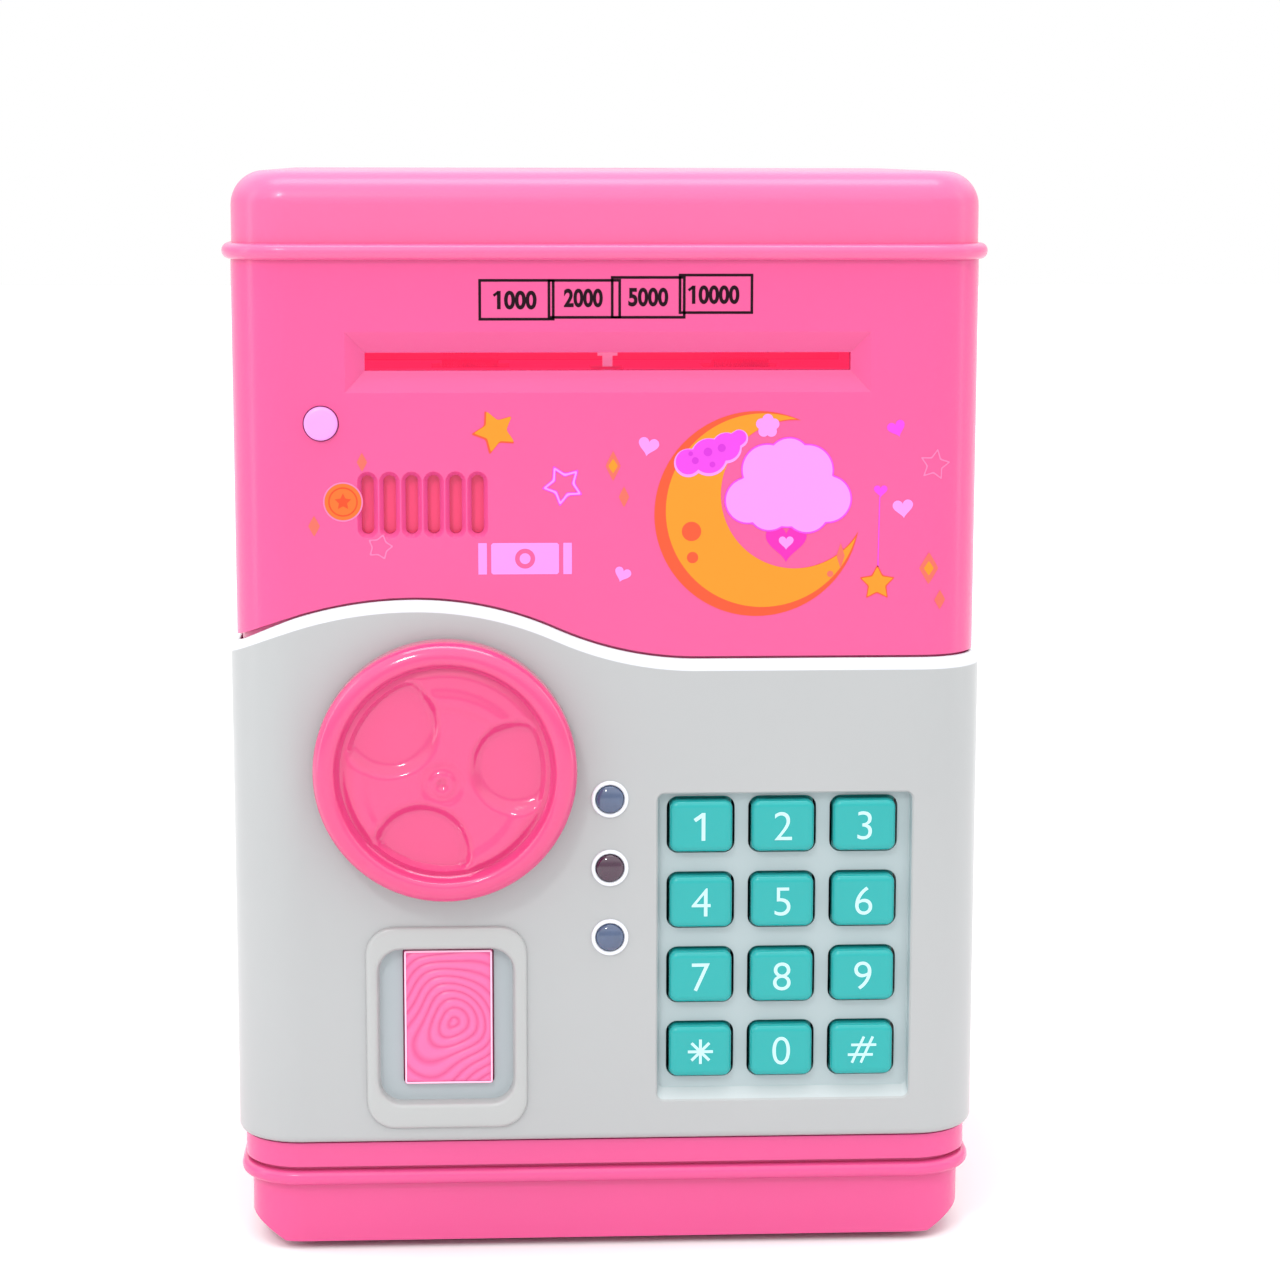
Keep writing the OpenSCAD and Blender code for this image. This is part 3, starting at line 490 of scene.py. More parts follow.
def rr(x0, x1, z0, z1, r, y, grow=0.0, seg=6):
    """A round-cornered rectangle on the front view, anticlockwise, at depth y."""
    x0, x1, z0, z1, r = x0 - grow, x1 + grow, z0 - grow, z1 + grow, max(0.05, r + grow)
    out = []
    for cx, cz, a0 in ((x1 - r, z0 + r, -90), (x1 - r, z1 - r, 0),
                       (x0 + r, z1 - r, 90), (x0 + r, z0 + r, 180)):
        for i in range(seg + 1):
            a = math.radians(a0 + 90 * i / seg)
            out.append((cx + r * math.cos(a), y, cz + r * math.sin(a)))
    return out


def centred(cx, cz, width, height):
    """The sides of a box about a centre, as rr takes them."""
    return cx - width / 2, cx + width / 2, cz - height / 2, cz + height / 2


def circle(cx, cz, r, n=64):
    turns = [2 * math.pi * i / n for i in range(n)]
    return [(cx + r * math.cos(a), cz + r * math.sin(a)) for a in turns]


def ring(cx, cz, r, y, n=48):
    """A circle on the front view at depth y."""
    return [(x, y, z) for x, z in circle(cx, cz, r, n)]


def turned(cx, cz, profile, n=48):
    """A form turned about a front-to-back axis, from (radius, depth) pairs."""
    return solid([ring(cx, cz, r, y, n) for r, y in profile])


# ------------------------------------------------------------ shapes of the door and case
def wave(x):
    """Height of the door's upper edge at x."""
    a = math.acos(1 - (DOOR_CREST - DOOR_FLAT) / (RIGHT_R + TROUGH_R))
    flat = CREST_X + (RIGHT_R + TROUGH_R) * math.sin(a)
    if x < CREST_X:
        return DOOR_CREST - LEFT_R + math.sqrt(LEFT_R ** 2 - (x - CREST_X) ** 2)
    if x < CREST_X + RIGHT_R * math.sin(a):
        return DOOR_CREST - RIGHT_R + math.sqrt(RIGHT_R ** 2 - (x - CREST_X) ** 2)
    if x < flat:
        return DOOR_FLAT + TROUGH_R - math.sqrt(TROUGH_R ** 2 - (x - flat) ** 2)
    return DOOR_FLAT


def plan(half_x, half_y, r, rear, seg=10, along=96):
    """Points and outward normals round the front of a rounded case, from its left rear edge."""
    middle = (rear - half_y + r) / 2
    out = [((-half_x, rear), (-1, 0)), ((-half_x, middle), (-1, 0))]

    def corner(cx, a0):
        for i in range(seg + 1):
            a = math.radians(a0 + 90 * i / seg)
            nx, ny = math.cos(a), math.sin(a)
            out.append(((cx + r * nx, -half_y + r + r * ny), (nx, ny)))

    corner(-half_x + r, 180)
    for i in range(1, along):
        x = (-half_x + r) + 2 * (half_x - r) * i / along
        out.append(((x, -half_y), (0, -1)))
    corner(half_x - r, 270)
    out += [((half_x, middle), (1, 0)), ((half_x, rear), (1, 0))]
    return out


def front_y(x):
    """Depth of the case's front face at x, which bends back at the corners."""
    over = abs(x) - (CASE_X - CORNER)
    if over <= 0:
        return FRONT
    return FRONT + CORNER - math.sqrt(max(0.0, CORNER ** 2 - over ** 2))


# ------------------------------------------------------------ case
VENT_X, VENT_STEP, VENT_Z, VENT_W, VENT_H = -41.9, 3.81, 134.8, 2.1, 10.2
VENT_LEVELS = ((FRONT - 1, 0.75), (FRONT, 0.75), (FRONT + 0.9, 0.02), (FRONT + 1.2, 0.02))


def vent(x):
    """A cutter for one sound vent, a pill-shaped dish with sloping sides."""
    box = centred(x, VENT_Z, VENT_W, VENT_H)
    return solid([rr(*box, VENT_W / 2, y, grow, 10) for y, grow in VENT_LEVELS])


shell = from_cad("case_shell", "body_shell", PINK, "case", 0.25)
cut(shell, [vent(VENT_X + VENT_STEP * i) for i in range(6)])
smooth(shell, 35)
from_cad("case_lid", "lid", LID_SHEEN_PINK, "case", 0.3, rim=(1.3, CORNER + 1.5))
from_cad("case_base", "base_tray", PINK, "case", 0.5, rim=(1.1, CORNER + 0.8))
from_cad("rear_battery_cover", "battery_cover", PINK, "rear_cover", 0.25)
from_cad("speaker_cup", "speaker_holder", VENT_PINK, "case", 0.1)
from_cad("note_guide", "feed_frame", PINK_IN, "case", 0.2)


# ------------------------------------------------------------ door
SIDE_WALL, FRONT_MORE = 1.7, 0.3                # the front wall is thicker than the sides
RIM_BAND, RIM_DEPTH, RIM_START = 2.0, 1.6, math.radians(42)
FOOT = 1.3                                      # rounding of the door's lower edge
KNOB_HOLE, LED_HOLE, FLARE = 4.4, 2.9, 0.3
RECESS_BOX = (8.6, 53.8, 27.6, 83.5)
WELL_BOX = (-40.85, -17.1, 27.8, 55.8)
FRAME_BOX = (-43.2, -14.6, 23.1, 60.0)
PAD_BOX = (-36.4, -20.8, 31.1, 55.5)


def door_form():
    """The door's wall as it runs round the case, with its rounded upper and lower edges."""
    loops = []
    for (x, y), (nx, ny) in plan(DOOR_X, DOOR_Y, DOOR_R, DOOR_REAR):
        thick = SIDE_WALL + FRONT_MORE * abs(ny)
        top = wave(x)
        side = [(thick, DOOR_BOTTOM), (FOOT * 0.75, DOOR_BOTTOM)]
        for k in range(6):
            a = math.radians(90 * k / 5)
            side.append((FOOT * 0.75 * (1 - math.sin(a)), DOOR_BOTTOM + FOOT * (1 - math.cos(a))))
        for k in range(9):
            a = RIM_START + (math.pi / 2 - RIM_START) * k / 8
            side.append((RIM_DEPTH * (math.cos(RIM_START) - math.cos(a)) / math.cos(RIM_START),
                         top - RIM_BAND * (1 - math.sin(a)) / (1 - math.sin(RIM_START))))
        side.append((thick, top - 0.1))
        loops.append([(x - nx * d, y - ny * d, z) for d, z in side])
    return solid(loops)


def through(loop_fn):
    """A cutter that goes through the door, with a slightly flared mouth."""
    return solid([loop_fn(FACE - 1.5, FLARE), loop_fn(FACE - 0.001, FLARE),
                  loop_fn(FACE + FLARE, 0.0), loop_fn(FACE + 6, 0.0)])


def painted_highlight_faces(ob, material, chosen):
    """Paints the chosen upward faces of a piece a paler colour of the same moulding: a painted
    highlight.
    """
    ob.data.materials.append(material)
    for face in ob.data.polygons:
        if face.normal.z > 0.3 and chosen(face.center.x / MM, face.center.z / MM):
            face.material_index = 1


door_cuts = [through(lambda y, g: rr(*RECESS_BOX, 1.2, y, g)),
             through(lambda y, g: rr(*WELL_BOX, 4.0, y, g + 0.6)),
             through(lambda y, g: ring(KNOB_X, KNOB_Z, KNOB_HOLE, y))]
for z in LEDS.values():
    door_cuts.append(through(lambda y, g, z=z: ring(LED_X, z, LED_HOLE, y, 32)))
panel = piece("door_panel", door_form(), GREY, "door", ["door_shell"], 32, door_cuts)
# the upward faces of the top band are painted paler: a painted highlight
painted_highlight_faces(panel, RIM_HIGHLIGHT_GREY, lambda x, z: z > wave(x) - RIM_BAND)

# hinge knuckles, screw posts and the knob's collar belong to the door's moulding
POST = ((2.2, -56.9), (2.2, -46.3), (1.9, -46.2))
POSTS = ((-46, 29), (-46, 98.5), (42, 95), (2, 31))
HINGES = ((36.4, 48.4), (81.6, 93.6))           # lower and upper end of each knuckle
WEB = ((65.05, -42.0), (66.35, -42.0), (66.35, -39.3), (65.6, -38.9), (65.05, -39.7))
fittings = [turned(x, z, POST, 24) for x, z in POSTS]
fittings.append(turned(KNOB_X, KNOB_Z, [(6, -56.9), (6, -52.5), (5.8, -52.3)], 40))
for z0, z1 in HINGES:
    barrel = ((1.06, z0), (2.0, z0), (2.2, z0 + 0.2), (2.2, z1 - 0.2), (2.0, z1), (1.06, z1),
              (1.06, z0))
    fittings.append(loft([[(x, y, z) for x, y in circle(HINGE_X, HINGE_Y, r, 28)]
                          for r, z in barrel]))
    fittings.append(solid([[(x, y, z) for x, y in WEB] for z in (z0, z0 + 0.2, z1 - 0.2, z1)]))
piece("door_fittings", joined(*fittings), GREY, "door", (), 40)

# keypad recess: sloping walls, the lower one broad, and a floor with a hole for each key
KEY_NAMES = ("key_1", "key_2", "key_3", "key_4", "key_5", "key_6", "key_7", "key_8", "key_9",
             "key_star", "key_0", "key_hash")
KEYS = {name: (KEY_X + (i % 3) * KEY_STEP_X, KEY_Z - (i // 3) * KEY_STEP_Z)
        for i, name in enumerate(KEY_NAMES)}
KEY_GAP, KEY_LIP, LEDGE_H = 0.5, 1.1, 1.8
# each level: beyond the recess at the sides and top, beyond it below, corner radius, depth
TRAY = ((1.2, 1.2, 2.4, -55.5), (1.2, 1.2, 2.4, -57.4), (0.25, 0.25, 1.4, -58.45),
        (0.0, 0.0, 1.2, -58.4), (-0.2, -1.75, 1.0, -56.85), (-0.4, -2.0, 1.0, -56.7))
x0, x1, z0, z1 = RECESS_BOX
tray = solid([rr(x0 - side, x1 + side, z0 - below, z1 + side, r, y) for side, below, r, y in TRAY])
key_cuts = [solid([rr(*centred(cx, cz, KEY_W, KEY_H), KEY_R, y, KEY_GAP) for y in (-60, -50)])
            for cx, cz in KEYS.values()]
recess = piece("keypad_recess", tray, RECESS_SHADE_TINT, "door", (), 32, key_cuts)
# the upward faces of the recess's lower wall are painted paler: a painted highlight
painted_highlight_faces(recess, LEDGE_HIGHLIGHT_GREY, lambda x, z: z < RECESS_BOX[2] + LEDGE_H)

# each level of a key's side: growth and depth
KEY_SIDE = ((0.0, -54.6), (0.0, -57.2), (0.0, -57.9), (-0.08, -58.25), (-0.26, -58.55),
            (-0.55, -58.76), (-0.9, -58.87), (-1.3, KEY_TOP))
for name, (cx, cz) in KEYS.items():
    cap = solid([rr(*centred(cx, cz, KEY_W, KEY_H), KEY_R, y, grow, 8) for grow, y in KEY_SIDE])
    flange = solid([rr(*centred(cx, cz, KEY_W, KEY_H + 2 * KEY_LIP), KEY_R, y)
                    for y in (-55.4, -54.6)])
    piece(name + "_cap", joined(cap, flange), TEAL, name + "_cap", [name], 38)


# ------------------------------------------------------------ lettering: numbers and signs only
SINK = 0.02                                     # how far a print starts inside its surface
KEY_PRINT, CASE_PRINT = 0.04, 0.01              # thickness of the prints


def glyphs(name, text, height, cx, cz, y, depth, material, body, bold=0.0, width=None):
    """Text as a print of a given height, and of a given width where there is one."""
    cu = bpy.data.curves.new(name, "FONT")
    cu.body = text
    cu.size = 1.0
    cu.extrude = 0.02
    cu.offset = bold
    tmp = linked(name + "_curve", cu)
    bpy.context.view_layer.update()
    me = bpy.data.meshes.new_from_object(tmp.evaluated_get(bpy.context.evaluated_depsgraph_get()))
    bpy.data.objects.remove(tmp)
    xs = [v.co.x for v in me.vertices]
    ys = [v.co.y for v in me.vertices]
    k = height / (max(ys) - min(ys)) * MM
    kx = width / (max(xs) - min(xs)) * MM if width else k
    mx, my = (max(xs) + min(xs)) / 2, (max(ys) + min(ys)) / 2
    for v in me.vertices:
        deep = SINK if v.co.z <= 0 else -depth
        v.co = Vector((cx * MM + (v.co.x - mx) * kx, y * MM + deep * MM,
                       cz * MM + (v.co.y - my) * k))
    me.name = name
    return placed(linked(name, me), material, body)


def strokes(segments, cx, cz, width, y, depth):
    """Flat bars between pairs of points, as a print of the given depth."""
    parts = []
    for i, ((ax, az), (bx, bz)) in enumerate(segments):
        d = math.hypot(bx - ax, bz - az)
        ux, uz = (bx - ax) / d, (bz - az) / d
        px, pz = -uz * width / 2, ux * width / 2
        quad = [(ax + px, az + pz), (ax - px, az - pz), (bx - px, bz - pz), (bx + px, bz + pz)]
        # bars that cross lie at slightly different levels
        levels = (y + SINK + 0.003 * i, y - depth - 0.006 * i)
        parts.append(solid([[(cx + x, level, cz + z) for x, z in quad] for level in levels]))
    return joined(*parts)


# the key signs that are drawn as bars, and the width of the bars
STAR_ARM = 2.25
SIGNS = {
    "star": ([((0, 0), (STAR_ARM * math.cos(math.radians(a)), STAR_ARM * math.sin(math.radians(a))))
              for a in range(0, 360, 45)], 0.5),
    "1": ([((0.35, -2.5), (0.35, 2.5)), ((0.2, 2.15), (-1.2, 1.15))], 0.66),
    "hash": ([((-1.75, -2.4), (0.35, 2.4)), ((-0.15, -2.4), (1.95, 2.4)),
              ((-1.9, 0.9), (2.6, 0.9)), ((-2.5, -0.9), (2.0, -0.9))], 0.46)}
for name, (cx, cz) in KEYS.items():
    sign = name.split("_")[1]
    if sign in SIGNS:
        bars, width = SIGNS[sign]
        piece("print_" + name, strokes(bars, cx, cz, width, KEY_TOP, KEY_PRINT), INK_KEY,
              name + "_cap")
    else:
        glyphs("print_" + name, sign, 5.1, cx, cz, KEY_TOP, KEY_PRINT, INK_KEY,
               name + "_cap", -0.008)

# ------------------------------------------------------------ lights on the door
COLLAR = ((3.2, -57.5), (3.3, -58.6), (3.3, -58.85), (3.24, -59.05), (3.1, -59.18), (2.9, -59.22),
          (2.7, -59.14), (2.56, -58.9), (2.54, -58.2), (2.54, -57.5))
DOME_RISE = 1.15
for name, z in LEDS.items():
    piece(name + "_collar", turned(LED_X, z, COLLAR), RING_WHITE, "door", (), 50)
    dome = [(LED_R, -51.0), (LED_R, LED_SEAT)]
    for k in range(1, 8):
        a = math.radians(90 * k / 8)
        dome.append((LED_R * math.cos(a), LED_SEAT - DOME_RISE * math.sin(a)))
    dome.append((0.05, LED_SEAT - DOME_RISE))
    glass = LENS_DARK if name == "led_middle" else LENS_BLUE
    piece(name + "_lens", turned(LED_X, z, dome, 40), glass, "door", [name], 60)

# ------------------------------------------------------------ fingerprint pad and its frame
# each level: box, corner radius, depth, growth
FRAME_LEVELS = (
    (WELL_BOX, 5.0, -55.9, 1.2), (WELL_BOX, 5.0, -57.6, 1.2), (FRAME_BOX, 5.0, -58.5, -0.2),
    (FRAME_BOX, 5.0, -58.75, 0.0), (FRAME_BOX, 5.0, -59.2, -0.1), (FRAME_BOX, 5.0, -59.44, -0.35),
    (FRAME_BOX, 5.0, -59.56, -0.8), (WELL_BOX, 4.0, -59.58, 1.0), (WELL_BOX, 4.0, -59.45, 0.55),
    (WELL_BOX, 4.0, -59.1, 0.15), (WELL_BOX, 4.0, -57.6, -0.1), (WELL_BOX, 4.0, -57.0, -0.1))
WELL_LEVELS = (
    (WELL_BOX, 4.0, -56.2, -0.05), (WELL_BOX, 4.0, -57.3, -0.05), (WELL_BOX, 3.6, -57.1, -0.7))
EDGE_LEVELS = (
    (PAD_BOX, 0.5, -57.6, -0.02), (PAD_BOX, 0.5, -58.3, -0.02), (PAD_BOX, 0.5, -58.36, -0.16),
    (PAD_BOX, 0.4, -58.3, -0.34))


def levels_of(rows):
    return [rr(*box, r, y, grow) for box, r, y, grow in rows]


piece("finger_frame", loft(levels_of(FRAME_LEVELS)), FRAME_LIT_GREY, "door", (), 40)
pad_hole = solid([rr(*PAD_BOX, 0.6, y, 0.3) for y in (-58.6, -50)])
piece("finger_well", solid(levels_of(WELL_LEVELS)), WELL_SHADE_GREY, "door", (), 40,
      [pad_hole])

CORE_X, CORE_Z = -27.6, 42.4                    # middle of the fingerprint's loops
LEAN = math.radians(50)
PITCH = 1.5                                     # from one crest to the next
PAD_FACE, PAD_BACK, RIDGE_H = -58.2, -55.0, 0.34


def ridge(x, z):
    """Height of the pad's loop pattern: nested drops that lean to the lower left."""
    dx, dz = x - CORE_X, z - CORE_Z
    u = dx * math.cos(LEAN) + dz * math.sin(LEAN)
    v = -dx * math.sin(LEAN) + dz * math.cos(LEAN)
    r = math.hypot(u * (0.95 if u > 0 else 0.56), v)
    bend = 0.5 * math.sin(0.42 * x + 0.36 * z) * min(1.0, r / 5)
    sweep = 0.7 * math.exp(-((dx + 5.0) ** 2 + (dz + 7.0) ** 2) / 22.0)
    return math.sqrt(0.5 + 0.5 * math.cos(2 * math.pi * (r + bend + sweep) / PITCH))


def pad_form():
    """The pad's ridged face, its sides, and a flange that holds it behind the well's floor."""
    nx, nz = 84, 132
    x0, x1, z0, z1 = PAD_BOX
    verts, faces = [], []
    for j in range(nz + 1):
        for i in range(nx + 1):
            x, z = x0 + (x1 - x0) * i / nx, z0 + (z1 - z0) * j / nz
            edge = min(x - x0, x1 - x, z - z0, z1 - z)
            k = min(1.0, max(0.0, (edge - 0.35) / 0.5))
            drop = 0.35 * (1 - min(1.0, edge / 0.3)) ** 2
            verts.append((x, PAD_FACE - RIDGE_H * k * ridge(x, z) + drop, z))
    w = nx + 1
    for j in range(nz):
        for i in range(nx):
            a = j * w + i
            faces.append((a, a + 1, a + 1 + w, a + w))
    rim = [i for i in range(w)] + [j * w + nx for j in range(1, nz + 1)]
    rim += [nz * w + i for i in range(nx - 1, -1, -1)] + [j * w for j in range(nz - 1, 0, -1)]
    base = len(verts)
    verts += [(verts[i][0], PAD_BACK, verts[i][2]) for i in rim]
    n = len(rim)
    for k in range(n):
        faces.append((rim[k], base + k, base + (k + 1) % n, rim[(k + 1) % n]))
    faces.append(tuple(base + k for k in reversed(range(n))))
    flange = solid([rr(*PAD_BOX, 0.5, y, 0.9) for y in (-55.8, PAD_BACK)])
    return joined((verts, faces), flange)


pad = piece("finger_pad_face", pad_form(), PAD_PINK, "pad", ["finger_pad"], 80)
# the ridge height, which the pad's material turns into painted light and shade
layer = pad.data.attributes.new("ridge", "FLOAT", "POINT")
for v in pad.data.vertices:
    layer.data[v.index].value = ridge(v.co.x / MM, v.co.z / MM)
# the pale rim round the pad is a painted highlight
piece("finger_pad_edge", loft(levels_of(EDGE_LEVELS)), PAD_EDGE_HIGHLIGHT, "pad", (), 60)


# ------------------------------------------------------------ knob
# the knob's side, from its shaft to the inner edge of its rim: radius and depth
KNOB_SIDE = ((4.0, -42.8), (4.0, -58.9), (22.3, -58.95), (22.85, -59.2), (23.05, -59.6),
             (23.05, -62.9), (22.98, -63.5), (22.75, -64.1), (22.35, -64.65), (21.8, -65.1),
             (21.1, -65.4), (20.3, -65.52), (19.7, -65.4), (19.35, -65.1), (19.15, -64.7),
             (18.95, -64.1), (18.7, -63.6), (18.45, -63.5))
DISH_R = 18.3
HUB_X, HUB_Z = -0.5, -2.0
POCKETS = ((-9.75, 8.4, 8.5), (12.5, 1.0, 7.7), (-4.2, -14.4, 8.5))


def step(a, b, t):
    """Rises smoothly from 0 at a to 1 at b."""
    t = min(1.0, max(0.0, (t - a) / (b - a)))
    return t * t * (3 - 2 * t)


def knob_dip(x, z):
    """How far the dish of the knob lies behind its rim, at x and z from the knob's centre."""
    hub = math.hypot(x - HUB_X, z - HUB_Z)
    rim = math.hypot(x, z)
    low = 0.0
    for cx, cz, size in POCKETS:
        low = max(low, 1 - step(size - 1.5, size + 1.0, math.hypot(x - cx, z - cz)))
    low *= 1 - step(16.6, 17.8, rim)
    depth = 1.9 + 1.5 * low
    # a raised band round the dish, then the hub's dimple and its groove
    depth -= 0.35 * (1 - low) * step(12.6, 14.2, hub) * (1 - step(15.2, 17.0, hub))
    depth += 0.5 * (1 - step(0.3, 1.3, hub)) + 0.3 * step(1.8, 2.6, hub) * (1 - step(3.0, 4.2, hub))
    return depth + (2.3 - depth) * step(17.0, 18.2, rim)


def knob_form():
    n, rings = 168, 44
    loops = [ring(0, 0, r, y, n) for r, y in KNOB_SIDE]
    for j in range(rings):
        r = DISH_R * (1 - j / rings) + 0.05
        loops.append([(x, KNOB_FRONT + knob_dip(x, z), z) for x, z in circle(0, 0, r, n)])
    return solid([[(KNOB_X + x, y, KNOB_Z + z) for x, y, z in loop] for loop in loops])


piece("knob_turned", knob_form(), KNOB_PINK, "knob_set", ["knob"], 50)

# ------------------------------------------------------------ setting button and note flap
BUTTON = ((2.95, -53.9), (2.95, -57.4), (2.9, -57.95), (2.72, -58.15), (2.3, -58.27),
          (1.2, -58.32))
button = joined(turned(BUTTON_X, BUTTON_Z, BUTTON, 40),
                turned(BUTTON_X, BUTTON_Z, [(4.0, -54.8), (4.0, -53.9)], 40))
piece("setting_button_cap", button, LILAC, "setting_button", ["setup_button"], 50)
from_cad("note_flap_tab", "note_flap", FLAP_PINK, "flap", 0.08)


# ------------------------------------------------------------ prints on the case's front
PRINT_Y = 0.035                                 # how far the lowest print stands off the case
LAYER_1, LAYER_2, LAYER_3, LAYER_4 = 0.015, 0.03, 0.045, 0.06


def flat(points, lift=0.0):
    """Points on the front view, laid on the case's front face."""
    return [(x, front_y(x) - PRINT_Y - lift, z) for x, z in points]


def band(outer, inner, lift=0.0):
    """A print between two outlines."""
    return loft([flat(outer, lift), flat(inner, lift)])


def filled(cx, cz, outer, lift=0.0):
    """A print that fills an outline from its centre."""
    sizes = (1.0, 0.66, 0.33)
    mid = [[(cx + (x - cx) * k, cz + (z - cz) * k) for x, z in outer] for k in sizes]
    return loft([flat(m, lift) for m in mid], True, False, True)


def fill(shape, cx, cz, *args, lift=0.0):
    """A filled shape, such as a star or a heart, about a centre."""
    return filled(cx, cz, shape(cx, cz, *args), lift)


def show(name, ink, *geometries):
    piece(name, joined(*geometries), INK[ink], "case", (), 60, recalc=False)


def radial(cx, cz, reach, n):
    """An outline whose distance from its centre depends on the direction."""
    rays = [(a, reach(a)) for a in (2 * math.pi * i / n for i in range(n))]
    return [(cx + r * math.cos(a), cz + r * math.sin(a)) for a, r in rays]


def star(cx, cz, size, turn, inner=0.5, soft=0.0):
    """A five-pointed star's outline, its points rounded by soft."""
    corners = []
    for k in range(10):
        r = size if k % 2 == 0 else size * inner
        a = math.radians(turn) + math.pi * k / 5
        corners.append((cx + r * math.cos(a), cz + r * math.sin(a)))
    out = []
    s = soft * 0.5
    for k, c in enumerate(corners):
        p, q = corners[k - 1], corners[(k + 1) % 10]
        a = (c[0] + (p[0] - c[0]) * s, c[1] + (p[1] - c[1]) * s)
        b = (c[0] + (q[0] - c[0]) * s, c[1] + (q[1] - c[1]) * s)
        for t in (0.0, 0.25, 0.5, 0.75, 1.0):
            out.append(((1 - t) ** 2 * a[0] + 2 * t * (1 - t) * c[0] + t * t * b[0],
                        (1 - t) ** 2 * a[1] + 2 * t * (1 - t) * c[1] + t * t * b[1]))
    return out


def heart(cx, cz, size, turn=0.0):
    out = []
    c, s = math.cos(math.radians(turn)), math.sin(math.radians(turn))
    for i in range(48):
        t = 2 * math.pi * i / 48
        x = 16 * math.sin(t) ** 3
        z = 13 * math.cos(t) - 5 * math.cos(2 * t) - 2 * math.cos(3 * t) - math.cos(4 * t)
        x, z = x * size / 32, (z + 2) * size / 32
        out.append((cx + x * c - z * s, cz + x * s + z * c))
    return out


def sparkle(cx, cz, w, h):
    """A four-pointed spark with hollow sides."""
    def pull(v):
        return math.copysign(abs(v) ** 1.9, v)

    turns = [2 * math.pi * i / 48 for i in range(48)]
    return [(cx + w * pull(math.cos(t)), cz + h * pull(math.sin(t))) for t in turns]


OPEN_STAR = (-8.0, 138.2)
FAINT_STAR, LOW_STAR = (57.0, 141.5), (-39.85, 127.5)
show("print_star_rim", "rim", fill(star, -19.9, 147.5, 4.1, 42, 0.5, 0.35))
show("print_star_orange", "orange", fill(star, -19.7, 147.65, 3.8, 42, 0.5, 0.35, lift=LAYER_1))
show("print_star_magenta", "magenta",
     band(star(*OPEN_STAR, 3.9, 45, 0.55, 0.4), star(*OPEN_STAR, 2.7, 45, 0.52, 0.3)))
show("print_star_lilac", "lilac",
     band(star(*OPEN_STAR, 3.55, 45, 0.55, 0.4), star(*OPEN_STAR, 3.0, 45, 0.53, 0.3), LAYER_1))
show("print_star_faint", "rose",
     band(star(*FAINT_STAR, 2.9, 80, 0.52, 0.3), star(*FAINT_STAR, 2.45, 80, 0.5, 0.3)),
     band(star(*LOW_STAR, 2.4, 75, 0.6, 0.5), star(*LOW_STAR, 2.0, 75, 0.6, 0.5)))
show("print_hearts_lilac", "lilac", fill(heart, 6.8, 144.8, 3.6, -12),
     fill(heart, 51.5, 133.8, 3.6, 6), fill(heart, 2.3, 122.4, 2.9, -20))
show("print_heart_magenta", "magenta", fill(heart, 50.2, 147.8, 3.2, 20))
show("print_sparkles", "coral", *[fill(sparkle, x, z, w, h) for x, z, w, h in (
    (0.7, 141.5, 1.3, 2.6), (2.6, 136.1, 0.9, 1.8), (-42.8, 142.3, 0.9, 1.6),
    (-51.2, 131.2, 1.0, 1.8), (56.2, 123.3, 1.7, 2.8), (58.3, 117.65, 1.0, 1.7))])
show("print_sparkle_hearts", "orange",
     *[fill(sparkle, x, z, w * 0.55, h * 0.55, lift=LAYER_1) for x, z, w, h in (
         (0.7, 141.5, 1.5, 2.3), (56.2, 123.3, 1.6, 2.3))])

# a plain coin with rings and a star
COIN = (-46.15, 135.4)
show("print_coin", "coin", fill(circle, *COIN, 3.25))
show("print_coin_rings", "coin_line", band(circle(*COIN, 2.55), circle(*COIN, 2.3), LAYER_1),
     fill(star, *COIN, 1.5, 90, lift=LAYER_1))
show("print_coin_edge", "rose", band(circle(*COIN, 3.45), circle(*COIN, 3.2), 0.01))


# a banknote pictogram: a plate with a round window, a dot in it and a bar at each end
def box_reach(w, h):
    """The distance from a box's centre to its edge, by direction."""
    return lambda a: min(w / max(1e-6, abs(math.cos(a))), h / max(1e-6, abs(math.sin(a))))


NOTE_X, NOTE_Z, NOTE_H, BAR_OUT = -14.65, 125.35, 2.75, 7.4
plate = radial(NOTE_X, NOTE_Z, box_reach(5.9, NOTE_H), 96)
ends = [fill(radial, NOTE_X + s * BAR_OUT, NOTE_Z, box_reach(0.75, NOTE_H), 48) for s in (-1, 1)]
show("print_banknote", "lilac", band(plate, circle(NOTE_X, NOTE_Z, 1.75, 96)),
     fill(circle, NOTE_X, NOTE_Z, 0.95), *ends)


# a crescent moon with a darker rim, clouds, a flower, hearts, and a star on a thread
def crescent(lift, cx, cz, r, ix, iz, ir, n=90):
    """A circle of radius r with another of radius ir, about ix and iz, taken out of it."""
    d = math.hypot(ix - cx, iz - cz)
    u = math.atan2(iz - cz, ix - cx)
    along = (d * d + r * r - ir * ir) / (2 * d)
    ha, hb = math.acos(along / r), math.acos((d - along) / ir)
    pairs = []
    for i in range(n + 1):
        t = u + ha + (2 * math.pi - 2 * ha) * i / n
        s = math.pi + u - hb + 2 * hb * i / n
        pairs.append(((cx + r * math.cos(t), cz + r * math.sin(t)),
                      (ix + ir * math.cos(s), iz + ir * math.sin(s))))
    steps = [[(p[0] + (q[0] - p[0]) * k / 4, p[1] + (q[1] - p[1]) * k / 4) for p, q in pairs]
             for k in range(5)]
    return loft([flat(s, lift) for s in steps], False)


